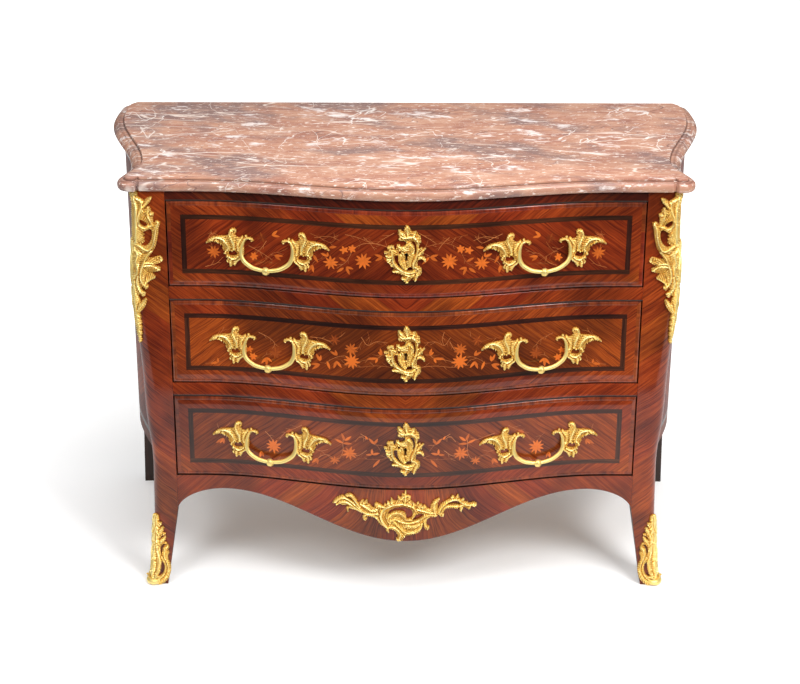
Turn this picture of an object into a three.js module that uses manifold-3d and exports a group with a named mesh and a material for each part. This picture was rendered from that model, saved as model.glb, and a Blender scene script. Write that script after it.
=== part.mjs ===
// Serpentine commode with a marble top, three locking drawers, cabriole legs and gilt mounts.
// Millimetres, +Z up. The front faces -Y. Depths are measured forward from the wall plane.
import * as THREE from 'three';
import { mergeVertices } from 'three/addons/utils/BufferGeometryUtils.js';
import Module from 'manifold-3d';

const wasm = await Module();
wasm.setup();

// Fits
const gap = 0.3; // between touching pieces
const drawerPlay = 2; // round each drawer front
const overrun = 20; // how far a cutter passes what it cuts
const beyondFront = 60; // how far the cutters for front mounts pass the case front
const facet = 40; // widest facet on the curved front

// Case
const openingHalf = 454.5; // half the width of the drawer openings; the other widths follow it
const openingHeight = 176;
const drawerCount = 3;
const friezeHeight = 19; // rail between the marble and the top drawer
const railHeight = 27; // rails between the drawers
const legHeight = 244; // floor to the lowest drawer opening
const caseHeight = legHeight + drawerCount * openingHeight + (drawerCount - 1) * railHeight + friezeHeight;
const caseDepth = 431; // wall to the flat ends of the front, under the marble; other depths follow it
const railDepth = 61;
const railBack = caseDepth - railDepth; // depth where the rails start

// Serpentine front: it swells at the centre and comes forward towards the floor
const flatEnd = 54.5; // flat part of the front at each end of the openings
const bulgeHalf = openingHalf - flatEnd;
const bulgeDepth = 58;
const bulgeShares = [[0, 1], [0.5, 1], [0.735, 0.95], [1, 0.84]];
const frontSwell = 15;
const frontSwellShares = [
  [0, 2.05], [0.06, 1.6], [0.18, 1.2], [0.285, 1], [0.5, 0.73], [0.735, 0.33], [1, 0],
];

// Bombe sides: widest near the wall, waisted, then flaring to the front corner
const sideMaxReach = 113.5; // how far the sides pass the openings at their widest
const sideMaxHalf = openingHalf + sideMaxReach;
const sideMaxDepth = 75;
const rearTuck = 8; // how far the rear corner turns in
const waistReach = 50.5;
const waistHalf = openingHalf + waistReach;
const waistSetBack = 81;
const waistDepth = caseDepth - waistSetBack;
const cornerReach = 68.5;
const cornerHalf = openingHalf + cornerReach;
const cornerSetBack = 1;
const cornerDepth = caseDepth - cornerSetBack;
const cornerSway = 20; // how far the corner line draws in towards the apron
const cornerSwayShares = [
  [0, -0.5], [0.035, -0.65], [0.095, -0.85], [0.175, -0.95], [0.26, -1], [0.34, -1], [0.42, -0.65],
  [0.555, -0.4], [0.63, -0.15], [0.71, 0.15], [0.885, 0.05], [1, -0.05],
];
const swaySetBack = 31;
const swayFade = 200; // over which the draw-in fades towards the rear
const swayEnd = caseDepth - swaySetBack;
const swayStart = swayEnd - swayFade;
const sideThickness = 20;
const sideDrop = 48; // lower edge of the side panels below the lowest opening
const sideArchHeight = legHeight - sideDrop;
const sideKneeLength = 70;
const sideKneeDrop = 40;

// Front legs, one piece with the corner stiles
const stileDepth = 55;
const stileBack = caseDepth - stileDepth; // depth of the stile's back face
const footSetOut = 25.5; // inner edge of the foot at the floor, beside the opening's end
const footInner = openingHalf + footSetOut;
const footBackShift = 56; // how far the leg's back comes forward at the floor
const footBackShares = [[0, 1], [0.035, 0.93], [0.095, 0.66], [0.175, 0.22], [0.23, 0], [1, 0]];
const cornerRound = 24;
const footRound = 9;
const cornerSteps = 5;

// Rear legs, one piece with the rear stiles
const rearWidth = 46;
const rearFootWidth = 34;
const rearDepth = 45;
const rearFootDepth = 38;
const rearSplay = 5;
const rearLegShares = [0, 0.07, 0.16, 0.3, 0.55, 1];

// Apron
const apronThickness = 26;
const apronHeight = 116; // at the centre
const apronArchDepth = 30; // its height where the lower edge is highest
const apronDrop = legHeight - apronHeight; // lowest point, at the centre
const apronArch = legHeight - apronArchDepth; // highest point of its lower edge
const kneeLength = 100; // curve from there down to the leg
const kneeOverlap = 1.5; // how far that curve would run on inside the leg
const apronArchHalf = openingHalf + kneeOverlap - kneeLength;
const kneeDrop = 53.5;

// Boards inside the case
const backThickness = 10;
const backSetIn = 20;
const backDrop = 94; // lower edge of the back below the lowest opening
const backLow = legHeight - backDrop;
const dustThickness = 8;
const bottomThickness = 14;
const topThickness = 18;
const guideWidth = 13;
const guideHeight = 18;
const guideStart = 60;
const stopWidth = 60;
const stopDepth = 15;
const stopHeight = 6;

// Marble
const marbleThickness = 25;
const marbleFrontOverhang = 9;
const marbleSideOverhang = 21;
const lobeReach = 12; // how far the corner lobes pass the case front
const lobeRound = 24;
const notchSetIn = 18; // from the corner's line
const notchHalf = cornerHalf - notchSetIn;
const notchWidth = 7;
const notchDepth = 6;
// moulded edge, from the underside up: height shares and how far each line is set in
const edgeInset = 12;
const edgeShares = [[0, 0.5], [0.12, 0.12], [0.4, 0], [0.66, 0.14], [0.8, 0.42], [0.82, 0.72], [1, 0.9]];

// Drawers
const frontThickness = 25;
const frontBevel = 4;
const drawerBack = 45; // depth of the drawer's back face
const drawerSidePlay = 4.5; // between a drawer's side and the opening's end
const drawerSideOuter = openingHalf - drawerSidePlay;
const drawerSideThickness = 12;
const drawerSideDrop = 26; // top of a drawer's side below the opening's top
const drawerSideHeight = openingHeight - drawerSideDrop;
const drawerBackThickness = 10;
const drawerBottomThickness = 7;
const drawerBottomLift = 8;

// Locks
const lockWidth = 64;
const lockThickness = 12;
const lockTop = 0.5; // below the front's top edge
const lockBelow = 5; // reaches down past the keyhole
const boltWidth = 22;
const boltThickness = 6;
const boltLength = 30;
const boltThrow = 10;
const boltPlay = 0.4;
const keyholeWidth = 3.8;
const keyholeHeight = 12;
const keyholeDrop = 1.5; // below the drawer's middle

// Gilt mounts. Outlines are shares of each mount's own width and height.
const plateGap = 0.5; // between a plate and the curved face under it
const plateThickness = 4;
const handleSetIn = 192.5; // from the opening's end to the handle's middle
const handleMiddle = openingHalf - handleSetIn;
const handleDrop = 9; // below the drawer's middle
const handleWidth = 230;
const handleHeight = 98;
const handlePlate = 7;
const bailReach = 22; // bail's centre line in front of the drawer
const bailRound = 4.4;
const bailSides = 6;
const bailSteps = 22;
const scrollSides = 5;
const scrollSteps = 9;
const scrollTipShare = 0.15; // how far along its swelling a scroll starts
const budRound = 8;
const escutcheonWidth = 78;
const escutcheonHeight = 118;
const escutcheonLift = 3;
const scrollRound = 2.8;
const apronMountWidth = 282;
const apronMountHeight = 106;
const apronMountDrop = 55; // its middle below the lowest opening
const apronMountMiddle = legHeight - apronMountDrop;
const cornerMountHeight = 316;
const cornerMountDrop = 2;
const cornerMountTop = caseHeight - cornerMountDrop;
const cornerMountHalf = 44; // half its width across the corner
const cornerPlate = 5;
const sabotHeight = 156;
const sabotHalf = 31;
const sabotPlate = 4;
const toeRound = 12;
const toeHalf = 13;
const toeReach = 6; // how far the toe's middle passes the corner of the foot

const handleLeafShares = [
  [1, 0.1], [0.96, 0.19], [0.84, 0.245], [0.755, 0.255], [0.71, 0.34], [0.73, 0.44], [0.635, 0.455],
  [0.555, 0.42], [0.59, 0.35], [0.585, 0.265], [0.51, 0.245], [0.44, 0.32], [0.395, 0.27], [0.42, 0.16],
  [0.42, 0], [0.45, -0.15], [0.495, -0.28], [0.58, -0.335], [0.64, -0.29], [0.65, -0.2], [0.72, -0.08],
  [0.76, 0.065], [0.845, 0.12], [0.945, 0.08],
];
const handleHoleShares = [[0.64, -0.1], [0.6, -0.03], [0.52, -0.05], [0.53, -0.12]];
// bail: across, up, and how far it stands out as a share of its reach
const bailShares = [
  [0.28, 0.24, 0.5, 0.6], [0.34, 0.275, 0.55, 0.8], [0.4, 0.215, 0.5, 1], [0.43, 0.08, 0.5, 1.1],
  [0.425, -0.08, 0.62, 1.1], [0.38, -0.25, 0.86, 1], [0.28, -0.375, 1, 1], [0.14, -0.425, 1, 1],
];
const escutcheonShares = [
  [0.02, 0.52], [0.09, 0.47], [0.12, 0.42], [0.2, 0.43], [0.26, 0.39], [0.33, 0.31], [0.34, 0.25],
  [0.3, 0.2], [0.31, 0.14], [0.37, 0.13], [0.39, 0.04], [0.31, -0.01], [0.4, -0.015], [0.45, -0.075],
  [0.41, -0.09], [0.36, -0.06], [0.28, -0.075], [0.25, -0.135], [0.33, -0.2], [0.34, -0.28],
  [0.26, -0.37], [0.225, -0.44], [0.175, -0.37], [0.09, -0.42], [0.01, -0.47], [-0.065, -0.44],
  [-0.115, -0.385], [-0.055, -0.325], [-0.18, -0.295], [-0.32, -0.28], [-0.27, -0.235],
  [-0.375, -0.16], [-0.43, -0.12], [-0.465, -0.05], [-0.51, 0.045], [-0.43, 0.07], [-0.44, 0.145],
  [-0.39, 0.18], [-0.29, 0.16], [-0.23, 0.13], [-0.22, 0.19], [-0.18, 0.2], [-0.115, 0.165],
  [-0.025, 0.2], [-0.025, 0.26], [-0.16, 0.275], [-0.18, 0.36], [-0.17, 0.45], [-0.065, 0.42],
  [-0.035, 0.495],
];
const escutcheonHoleShares = [
  [[-0.27, 0], [-0.19, 0.01], [-0.16, -0.11], [-0.075, -0.23], [-0.135, -0.215], [-0.25, -0.1]],
  [[0.12, 0.245], [0.185, 0.26], [0.24, 0.17], [0.195, 0.035], [0.175, 0.115], [0.155, 0.2]],
  [[0.01, -0.25], [0.09, -0.2], [0.16, -0.22], [0.12, -0.265]],
];
const escutcheonScrollShares = [
  [[-0.4, 0.11], [-0.34, -0.03], [-0.28, -0.14], [-0.12, -0.28], [0.02, -0.3], [0.15, -0.28]],
  [
    [-0.1, 0.18], [0.06, 0.25], [0.16, 0.32], [0.27, 0.22], [0.25, 0.05], [0.18, -0.1], [0.24, -0.2],
    [0.26, -0.3],
  ],
];
const apronMountShares = [
  [-0.5, 0.16], [-0.455, 0.3], [-0.39, 0.37], [-0.35, 0.31], [-0.33, 0.19], [-0.28, 0.28], [-0.2, 0.24],
  [-0.15, 0.2], [-0.1, 0.33], [-0.05, 0.38], [0, 0.5], [0.045, 0.38], [0.09, 0.27], [0.16, 0.17],
  [0.19, 0.27], [0.23, 0.32], [0.235, 0.14], [0.27, 0.25], [0.32, 0.34], [0.37, 0.36], [0.41, 0.25],
  [0.5, 0.11], [0.45, 0.05], [0.395, 0.02], [0.34, 0.13], [0.28, 0.07], [0.265, -0.04], [0.215, -0.03],
  [0.17, -0.05], [0.175, -0.26], [0.14, -0.2], [0.11, -0.35], [0.035, -0.39], [-0.01, -0.43],
  [-0.035, -0.52], [-0.06, -0.48], [-0.05, -0.37], [-0.11, -0.29], [-0.155, -0.245], [-0.195, -0.13],
  [-0.24, -0.03], [-0.285, -0.12], [-0.3, -0.07], [-0.315, 0.01], [-0.4, 0.04], [-0.335, 0.14],
  [-0.42, 0.22], [-0.475, 0.12],
];
const apronMountHoleShares = [
  [
    [-0.12, 0.03], [-0.075, 0.14], [-0.02, 0.18], [0.03, 0.11], [0.055, 0.02], [0.03, -0.05], [0, -0.06],
    [-0.04, 0.08],
  ],
  [[0.06, -0.07], [0.09, 0.01], [0.135, 0]],
];
const apronMountScrollShares = [
  [
    [-0.13, -0.22], [-0.175, -0.08], [-0.15, 0.08], [-0.08, 0.22], [0.02, 0.2], [0.085, 0.08],
    [0.05, -0.08],
  ],
  [[0.02, -0.1], [0.12, -0.1], [0.22, 0], [0.29, 0.12], [0.36, 0.2]],
  [[-0.2, -0.02], [-0.28, 0.06], [-0.36, 0.2], [-0.44, 0.24]],
];
// one half of a corner mount: across from the corner line, and down from the top
const cornerMountShares = [
  [0.05, 0], [0.3, 0], [0.48, 0.055], [0.66, 0.03], [0.52, 0.09], [0.72, 0.1], [0.76, 0.19], [0.98, 0.19],
  [0.88, 0.27], [0.8, 0.36], [0.56, 0.42], [0.9, 0.415], [1, 0.42], [0.82, 0.45], [0.9, 0.485],
  [0.68, 0.51], [0.74, 0.54], [0.46, 0.575], [0.5, 0.61], [0.3, 0.615], [0.42, 0.65], [0.3, 0.67],
  [0.44, 0.7], [0.34, 0.74], [0.18, 0.79], [0.2, 0.84], [0.14, 0.94], [0.04, 1],
];
const cornerMountHoleShares = [[0.38, 0.24], [0.62, 0.23], [0.66, 0.3], [0.5, 0.345], [0.36, 0.34]];
// one half of a sabot: across from the corner line, and up from the floor
const sabotShares = [
  [0.95, 0], [1, 0.19], [0.98, 0.36], [0.98, 0.5], [0.8, 0.5], [0.72, 0.36], [0.56, 0.46], [0.86, 0.6],
  [0.9, 0.68], [0.5, 0.6], [0.72, 0.76], [0.8, 0.8], [0.5, 0.77], [0.52, 0.88], [0.24, 0.9], [0.04, 1],
];

// Finishes
const finish = {
  marble: { color: '#9a6658', roughness: 0.18, metalness: 0 },
  veneer: { color: '#8a3f1c', roughness: 0.25, metalness: 0 },
  oak: { color: '#9b7448', roughness: 0.6, metalness: 0 },
  darkWood: { color: '#3b2014', roughness: 0.5, metalness: 0 },
  gilt: { color: '#d9a441', roughness: 0.25, metalness: 1 },
  steel: { color: '#8d8f92', roughness: 0.35, metalness: 1 },
};

const commode = new THREE.Group();

function add(name, geometry, look) {
  const mesh = new THREE.Mesh(geometry, new THREE.MeshStandardMaterial(finish[look]));
  mesh.name = name;
  commode.add(mesh);
}

const frontMost = caseDepth + bulgeDepth + beyondFront;

// Curves of the case

function between(table, share) {
  const next = table.findIndex(([edge]) => edge >= share);
  if (next <= 0) return next < 0 ? table[table.length - 1][1] : table[0][1];
  const [low, a] = table[next - 1];
  const [high, b] = table[next];
  return THREE.MathUtils.mapLinear(share, low, high, a, b);
}

function swing(t) {
  return (1 - Math.cos(Math.PI * THREE.MathUtils.clamp(t, 0, 1))) / 2;
}

function frontFlat(z) {
  return caseDepth + frontSwell * between(frontSwellShares, z / caseHeight);
}

function frontDepth(x, z) {
  const swell = bulgeDepth * between(bulgeShares, z / caseHeight);
  return frontFlat(z) + swell * swing(1 - Math.abs(x) / bulgeHalf);
}

function sidePlan(depth) {
  if (depth < sideMaxDepth) return sideMaxHalf - rearTuck * (1 - depth / sideMaxDepth) ** 2;
  const rear = swing((depth - sideMaxDepth) / (waistDepth - sideMaxDepth));
  const flare = swing((depth - waistDepth) / (cornerDepth - waistDepth));
  return sideMaxHalf - (sideMaxHalf - waistHalf) * rear + (cornerHalf - waistHalf) * flare;
}

function swayAt(depth) {
  return cornerSway * swing((depth - swayStart) / (swayEnd - swayStart));
}

function sideHalf(depth, z) {
  return sidePlan(depth) + swayAt(depth) * between(cornerSwayShares, z / caseHeight);
}

function sideInner(depth) {
  return sidePlan(depth) - swayAt(depth) - sideThickness;
}

function apronLow(x) {
  const across = Math.abs(x);
  const rise = apronDrop + (apronArch - apronDrop) * swing(across / apronArchHalf);
  const past = Math.max(0, across - apronArchHalf) / kneeLength;
  return rise - kneeDrop * (1 - Math.sqrt(1 - past ** 2));
}

// Building closed bodies from rings of points

function at(x, depth, z) {
  return new THREE.Vector3(x, -depth, z);
}

function capFaces(ring) {
  const normal = new THREE.Vector3();
  ring.forEach((point, i) => normal.add(point.clone().cross(ring[(i + 1) % ring.length])));
  const size = normal.toArray().map(Math.abs);
  const drop = size.indexOf(Math.max(...size));
  const keep = ['x', 'y', 'z'].filter((axis, i) => i !== drop);
  const flat = ring.map((point) => new THREE.Vector2(point[keep[0]], point[keep[1]]));
  const faces = THREE.ShapeUtils.triangulateShape(flat, []);
  return THREE.ShapeUtils.isClockWise(flat) ? faces.map(([a, b, c]) => [c, b, a]) : faces;
}

function volumeOf(points, faces) {
  return faces.reduce((sum, [a, b, c]) => sum + points[a].dot(points[b].clone().cross(points[c])), 0);
}

function bodyFrom(points, faces) {
  const outward = volumeOf(points, faces) > 0 ? faces : faces.map(([a, b, c]) => [a, c, b]);
  const geometry = new THREE.BufferGeometry().setFromPoints(points);
  geometry.setIndex(outward.flat());
  geometry.computeVertexNormals();
  return geometry;
}

function skin(rings) {
  const count = rings[0].length;
  const faces = capFaces(rings[0]).map(([a, b, c]) => [c, b, a]);
  for (let k = 0; k + 1 < rings.length; k++) {
    for (let i = 0; i < count; i++) {
      const j = (i + 1) % count;
      const low = k * count;
      const high = low + count;
      faces.push([low + i, low + j, high + j], [low + i, high + j, high + i]);
    }
  }
  const last = (rings.length - 1) * count;
  capFaces(rings[rings.length - 1]).forEach((face) => faces.push(face.map((i) => i + last)));
  return bodyFrom(rings.flat(), faces);
}

function box(x0, x1, depth0, depth1, z0, z1) {
  const geometry = new THREE.BoxGeometry(x1 - x0, depth1 - depth0, z1 - z0);
  return geometry.translate((x0 + x1) / 2, -(depth0 + depth1) / 2, (z0 + z1) / 2);
}

function mirrored(geometry) {
  const copy = geometry.clone().scale(-1, 1, 1);
  const index = copy.getIndex().array;
  for (let i = 0; i < index.length; i += 3) [index[i], index[i + 1]] = [index[i + 1], index[i]];
  copy.computeVertexNormals();
  return copy;
}

function addPair(name, geometry, look) {
  add(`${name}_right`, geometry, look);
  add(`${name}_left`, mirrored(geometry), look);
}

// Cutting and joining

function solid(geometry) {
  const bare = geometry.clone();
  bare.deleteAttribute('normal');
  bare.deleteAttribute('uv');
  const merged = mergeVertices(bare);
  const vertProperties = new Float32Array(merged.getAttribute('position').array);
  const triVerts = new Uint32Array(merged.getIndex().array);
  return new wasm.Manifold(new wasm.Mesh({ numProp: 3, vertProperties, triVerts }));
}

function meshed(body) {
  const { vertProperties, triVerts } = body.getMesh();
  const geometry = new THREE.BufferGeometry();
  geometry.setAttribute('position', new THREE.BufferAttribute(vertProperties, 3));
  geometry.setIndex(new THREE.BufferAttribute(triVerts, 1));
  geometry.computeVertexNormals();
  return geometry;
}

function outline(shares, width, height, mirror, x, z) {
  return shares.map(([across, up]) => new THREE.Vector2(x + mirror * across * width, z + up * height));
}

function prism(points, depth0, depth1) {
  const settings = { depth: depth1 - depth0, bevelEnabled: false };
  const geometry = new THREE.ExtrudeGeometry(new THREE.Shape(points), settings);
  return solid(geometry.rotateX(Math.PI / 2).translate(0, -depth0, 0));
}

function pierced(points, holes, depth0, depth1) {
  const whole = prism(points, depth0, depth1);
  return holes.reduce((body, hole) => body.subtract(prism(hole, depth0, depth1)), whole);
}

function tube(path, rounds, sides) {
  const rings = path.map((point, i) => {
    const ahead = path[Math.min(i + 1, path.length - 1)].clone().sub(path[Math.max(i - 1, 0)]).normalize();
    const across = new THREE.Vector3(0, 1, 0).cross(ahead).normalize();
    const out = ahead.clone().cross(across);
    return Array.from({ length: sides }, (unused, k) => {
      const turn = (2 * Math.PI * k) / sides;
      const around = across.clone().multiplyScalar(Math.cos(turn)).addScaledVector(out, Math.sin(turn));
      return point.clone().addScaledVector(around, rounds[i]);
    });
  });
  return skin(rings);
}

function stations(x0, x1) {
  const inside = [];
  for (let x = Math.ceil(x0 / facet + 0.1) * facet; x < x1 - facet * 0.1; x += facet) inside.push(x);
  return [x0, ...inside, x1];
}

// Front pieces: rings are plans taken at heights

function frontSlab(x0, x1, levels, outer, inner) {
  return skin(levels.map(([z, inset]) => {
    const xs = stations(x0 + inset, x1 - inset);
    const face = xs.map((x) => at(x, outer(x, z) - inset, z));
    const back = xs.map((x) => at(x, inner(x, z), z)).reverse();
    return [...face, ...back];
  }));
}

function rail(low, high) {
  const half = openingHalf - gap;
  return frontSlab(-half, half, [[low, 0], [high, 0]], frontDepth, () => railBack);
}

// Heights of the openings, top drawer first

const openings = Array.from({ length: drawerCount }, (unused, k) => {
  const high = caseHeight - friezeHeight - k * (openingHeight + railHeight);
  return { low: high - openingHeight, high, middle: high - openingHeight / 2 };
});
const drawerNames = ['top', 'middle', 'bottom'];

// Where each drawer's lock bolt stands

function boltDepth(high) {
  return frontDepth(lockWidth / 2, high) - frontThickness - plateGap - lockThickness / 2;
}

function mortised(geometry, railLow) {
  const middle = boltDepth(railLow);
  const half = boltWidth / 2 + boltPlay;
  const thick = boltThickness / 2 + boltPlay;
  const thrown = railLow - drawerPlay - lockTop + boltThrow;
  const cutter = box(-half, half, middle - thick, middle + thick, railLow - overrun, thrown + boltPlay);
  return meshed(solid(geometry).subtract(solid(cutter)));
}

// Marble top

function marblePlan(inset) {
  const z = caseHeight;
  const lobeFront = caseDepth + lobeReach;
  const lobeCentre = lobeFront - lobeRound;
  const lobeSide = sidePlan(lobeCentre) + marbleSideOverhang;
  const right = stations(0, notchHalf - notchWidth)
    .map((x) => [x, frontDepth(x, z) + marbleFrontOverhang - inset]);
  right.push([notchHalf, lobeFront - notchDepth - inset], [notchHalf + notchWidth, lobeFront - inset]);
  for (let k = 0; k <= cornerSteps; k++) {
    const turn = (Math.PI / 2) * (k / cornerSteps);
    const round = lobeRound - inset;
    right.push([
      lobeSide - lobeRound + round * Math.sin(turn),
      lobeCentre + round * Math.cos(turn),
    ]);
  }
  for (let depth = lobeCentre - facet / 2; depth > lobeRound / 2; depth -= facet / 2) {
    right.push([sidePlan(depth) + marbleSideOverhang - inset, depth]);
  }
  right.push([sidePlan(0) + marbleSideOverhang - inset - lobeRound / 3, 0]);
  const left = right.slice(1).reverse().map(([x, depth]) => [-x, depth]);
  return [...right, ...left];
}

const marbleRings = edgeShares.map(([up, inset]) => {
  const z = caseHeight + gap + up * (marbleThickness - gap);
  return marblePlan(inset * edgeInset).map(([x, depth]) => at(x, depth, z));
});
add('marble_top', skin(marbleRings), 'marble');

// Front legs and corner stiles

function legLine(z, grow) {
  const round = THREE.MathUtils.lerp(footRound, cornerRound, Math.min(1, z / legHeight));
  const knee = apronLow(openingHalf);
  const inner = z > knee ? openingHalf : THREE.MathUtils.mapLinear(z, 0, knee, footInner, openingHalf);
  const front = frontFlat(z);
  const back = stileBack + footBackShift * between(footBackShares, z / caseHeight);
  const edge = front - round;
  const outer = sideHalf(edge, z);
  const line = [[inner, front + grow]];
  for (let k = 0; k <= cornerSteps; k++) {
    const turn = (Math.PI / 2) * (k / cornerSteps);
    line.push([
      outer - round + (round + grow) * Math.sin(turn),
      edge + (round + grow) * Math.cos(turn),
    ]);
  }
  const middle = (edge + back) / 2;
  line.push([sideHalf(middle, z) + grow, middle], [sideHalf(back, z) + grow, back]);
  return { line, inner, back };
}

const legLevels = cornerSwayShares.map(([share]) => share * caseHeight);

function legSolid(grow) {
  return skin(legLevels.map((z) => {
    const { line, inner, back } = legLine(z, grow);
    return [...line, [inner, back]].map(([x, depth]) => at(x, depth, z));
  }));
}

function cornerShell(near, far, low, high) {
  const levels = [low, ...legLevels.filter((z) => z > low + gap && z < high - gap), high];
  return skin(levels.map((z) => {
    const outer = legLine(z, far).line;
    const inner = legLine(z, near).line.reverse();
    return [...outer, ...inner].map(([x, depth]) => at(x, depth, z));
  }));
}

addPair('front_leg', legSolid(0), 'veneer');

// Rear legs and stiles

const rearLeg = skin(rearLegShares.map((share) => {
  const z = share * caseHeight;
  const full = Math.min(1, share / rearLegShares[2]);
  const width = THREE.MathUtils.lerp(rearFootWidth, rearWidth, full);
  const depth = THREE.MathUtils.lerp(rearFootDepth, rearDepth, full);
  const splay = rearSplay * (1 - full);
  const inner = sideMaxHalf + splay - width;
  return [
    at(inner, 0, z), at(sidePlan(0) + splay, 0, z), at(sideHalf(depth / 2, z) + splay, depth / 2, z),
    at(sideHalf(depth, z) + splay, depth, z), at(inner, depth, z),
  ];
}));
addPair('rear_leg', rearLeg, 'darkWood');

// Side panels: sections taken at depths

const sideFront = stileBack - gap;
const sideRear = rearDepth + gap;
const sideLevels = [0.4, 0.5, 0.6, 0.7, 0.8, 0.9, 1].map((share) => share * caseHeight);
const sideSteps = 12;

function sideLow(depth) {
  const end = Math.min(depth - sideRear, sideFront - depth);
  const past = 1 - Math.min(1, end / sideKneeLength);
  return sideArchHeight - sideKneeDrop * (1 - Math.sqrt(1 - past ** 2));
}

const sideStations = Array.from({ length: sideSteps }, (unused, k) => {
  return THREE.MathUtils.lerp(sideRear, railBack - gap, k / (sideSteps - 1));
});
const sideRings = [...sideStations, sideFront].map((depth) => {
  const low = sideLow(depth);
  const lower = [0, 1, 2, 3].map((step) => THREE.MathUtils.lerp(low, sideLevels[0], step / 4));
  const heights = [...lower, ...sideLevels];
  return [
    ...heights.map((z) => at(sideHalf(depth, z), depth, z)),
    at(sideInner(depth), depth, caseHeight),
    at(sideInner(depth), depth, low),
  ];
});
addPair('side_panel', skin(sideRings), 'veneer');

// Boards across the case

const backHalf = sideMaxHalf - rearWidth - gap;

function board(low, high, front = []) {
  const half = [[backHalf, backSetIn + backThickness + gap], [backHalf, sideRear]];
  sideStations.forEach((depth) => half.push([sideInner(depth) - gap, depth]));
  half.push(...front);
  const plan = [...half, ...half.slice().reverse().map(([x, depth]) => [-x, depth])];
  return skin([low, high].map((z) => plan.map(([x, depth]) => at(x, depth, z))));
}

const backFront = backSetIn + backThickness;
add('back_panel', box(-backHalf, backHalf, backSetIn, backFront, backLow, caseHeight), 'oak');
add('top_board', board(caseHeight - topThickness, caseHeight), 'oak');
add('front_rail_top', mortised(rail(openings[0].high, caseHeight), openings[0].high), 'veneer');
openings.slice(0, -1).forEach(({ low }, k) => {
  const level = k === 0 ? 'upper' : 'lower';
  add(`front_rail_${level}`, mortised(rail(low - railHeight, low), low - railHeight), 'veneer');
  add(`dust_board_${level}`, board(low - dustThickness, low), 'oak');
});
const lowest = openings[drawerCount - 1].low;

// Apron: sections taken across

function apronSection(x, reach) {
  const low = apronLow(x);
  return [low, (low + lowest) / 2, lowest].map((z) => at(x, frontDepth(x, z) + reach, z));
}

function apronBack(x) {
  return frontDepth(x, lowest) - apronThickness;
}

const apronStations = stations(-openingHalf + gap, openingHalf - gap).flatMap((x, i, all) => {
  const next = all[i + 1] ?? 0;
  if (Math.abs(x) <= apronArchHalf || Math.abs(next) <= apronArchHalf) return [x];
  return [0, 1, 2].map((step) => THREE.MathUtils.lerp(x, next, step / 3));
});
add('apron', skin(apronStations.map((x) => {
  return [...apronSection(x, 0), at(x, apronBack(x), lowest), at(x, apronBack(x), apronLow(x))];
})), 'veneer');

const behindApron = apronStations.filter((x) => x > 0).reverse().map((x) => [x - gap, apronBack(x) - gap]);
const behindStile = [openingHalf - gap * 2, railBack - gap];
add('bottom_board', board(lowest - bottomThickness, lowest, [behindStile, ...behindApron]), 'oak');

// Guides and stops on the boards

const sideNames = [['right', 1], ['left', -1]];
openings.forEach(({ low }, k) => {
  const inner = drawerSideOuter + drawerPlay;
  const guide = box(inner, inner + guideWidth, guideStart, railBack, low + gap, low + guideHeight);
  add(`guide_${drawerNames[k]}_right`, guide, 'oak');
  add(`guide_${drawerNames[k]}_left`, mirrored(guide), 'oak');
  const behind = frontDepth(stopWidth / 2, low) - frontThickness - drawerPlay;
  const stop = box(-stopWidth / 2, stopWidth / 2, behind - stopDepth, behind, low + gap, low + stopHeight);
  add(`drawer_stop_${drawerNames[k]}`, stop, 'oak');
});

// Drawers

function keyholeCutter(middle) {
  const top = middle - keyholeDrop + keyholeHeight / 2;
  const half = keyholeWidth / 2;
  return box(-half, half, railBack, frontMost, top - keyholeHeight, top);
}

function drawerFront(low, high, middle) {
  const half = openingHalf - drawerPlay;
  const z0 = low + drawerPlay;
  const z1 = high - drawerPlay;
  const levels = [[z0, frontBevel], [z0 + frontBevel, 0], [z1 - frontBevel, 0], [z1, frontBevel]];
  const slab = frontSlab(-half, half, levels, frontDepth, (x, z) => frontDepth(x, z) - frontThickness);
  return meshed(solid(slab).subtract(solid(keyholeCutter(middle))));
}

function drawerBottom(low) {
  const z0 = low + drawerBottomLift;
  const half = drawerSideOuter - drawerSideThickness - gap;
  const reach = (x) => frontDepth(x, z0 + drawerBottomThickness) - frontThickness - gap;
  return frontSlab(-half, half, [[z0, 0], [z0 + drawerBottomThickness, 0]], reach, () => drawerBack);
}

// A plate that lies on the front between two heights

function facePlate(x0, x1, low, high, near, far) {
  const reach = (off) => (x, z) => frontDepth(x, z) + off;
  return solid(frontSlab(x0, x1, [[low, 0], [high, 0]], reach(far), reach(near)));
}

function onFace(x, z, out) {
  return at(x, frontDepth(x, z) + out, z);
}

function scroll(shares, width, height, x, z, out, round) {
  const points = shares.map(([across, up]) => onFace(x + across * width, z + up * height, out));
  const path = new THREE.CatmullRomCurve3(points).getPoints(scrollSteps);
  const { lerp } = THREE.MathUtils;
  const swell = (i) => Math.sin(Math.PI * lerp(scrollTipShare, 1 - scrollTipShare, i / scrollSteps));
  return solid(tube(path, path.map((point, i) => round * swell(i)), scrollSides));
}

// Handle: two pierced leaves joined by a bail that stands clear of the drawer

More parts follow.
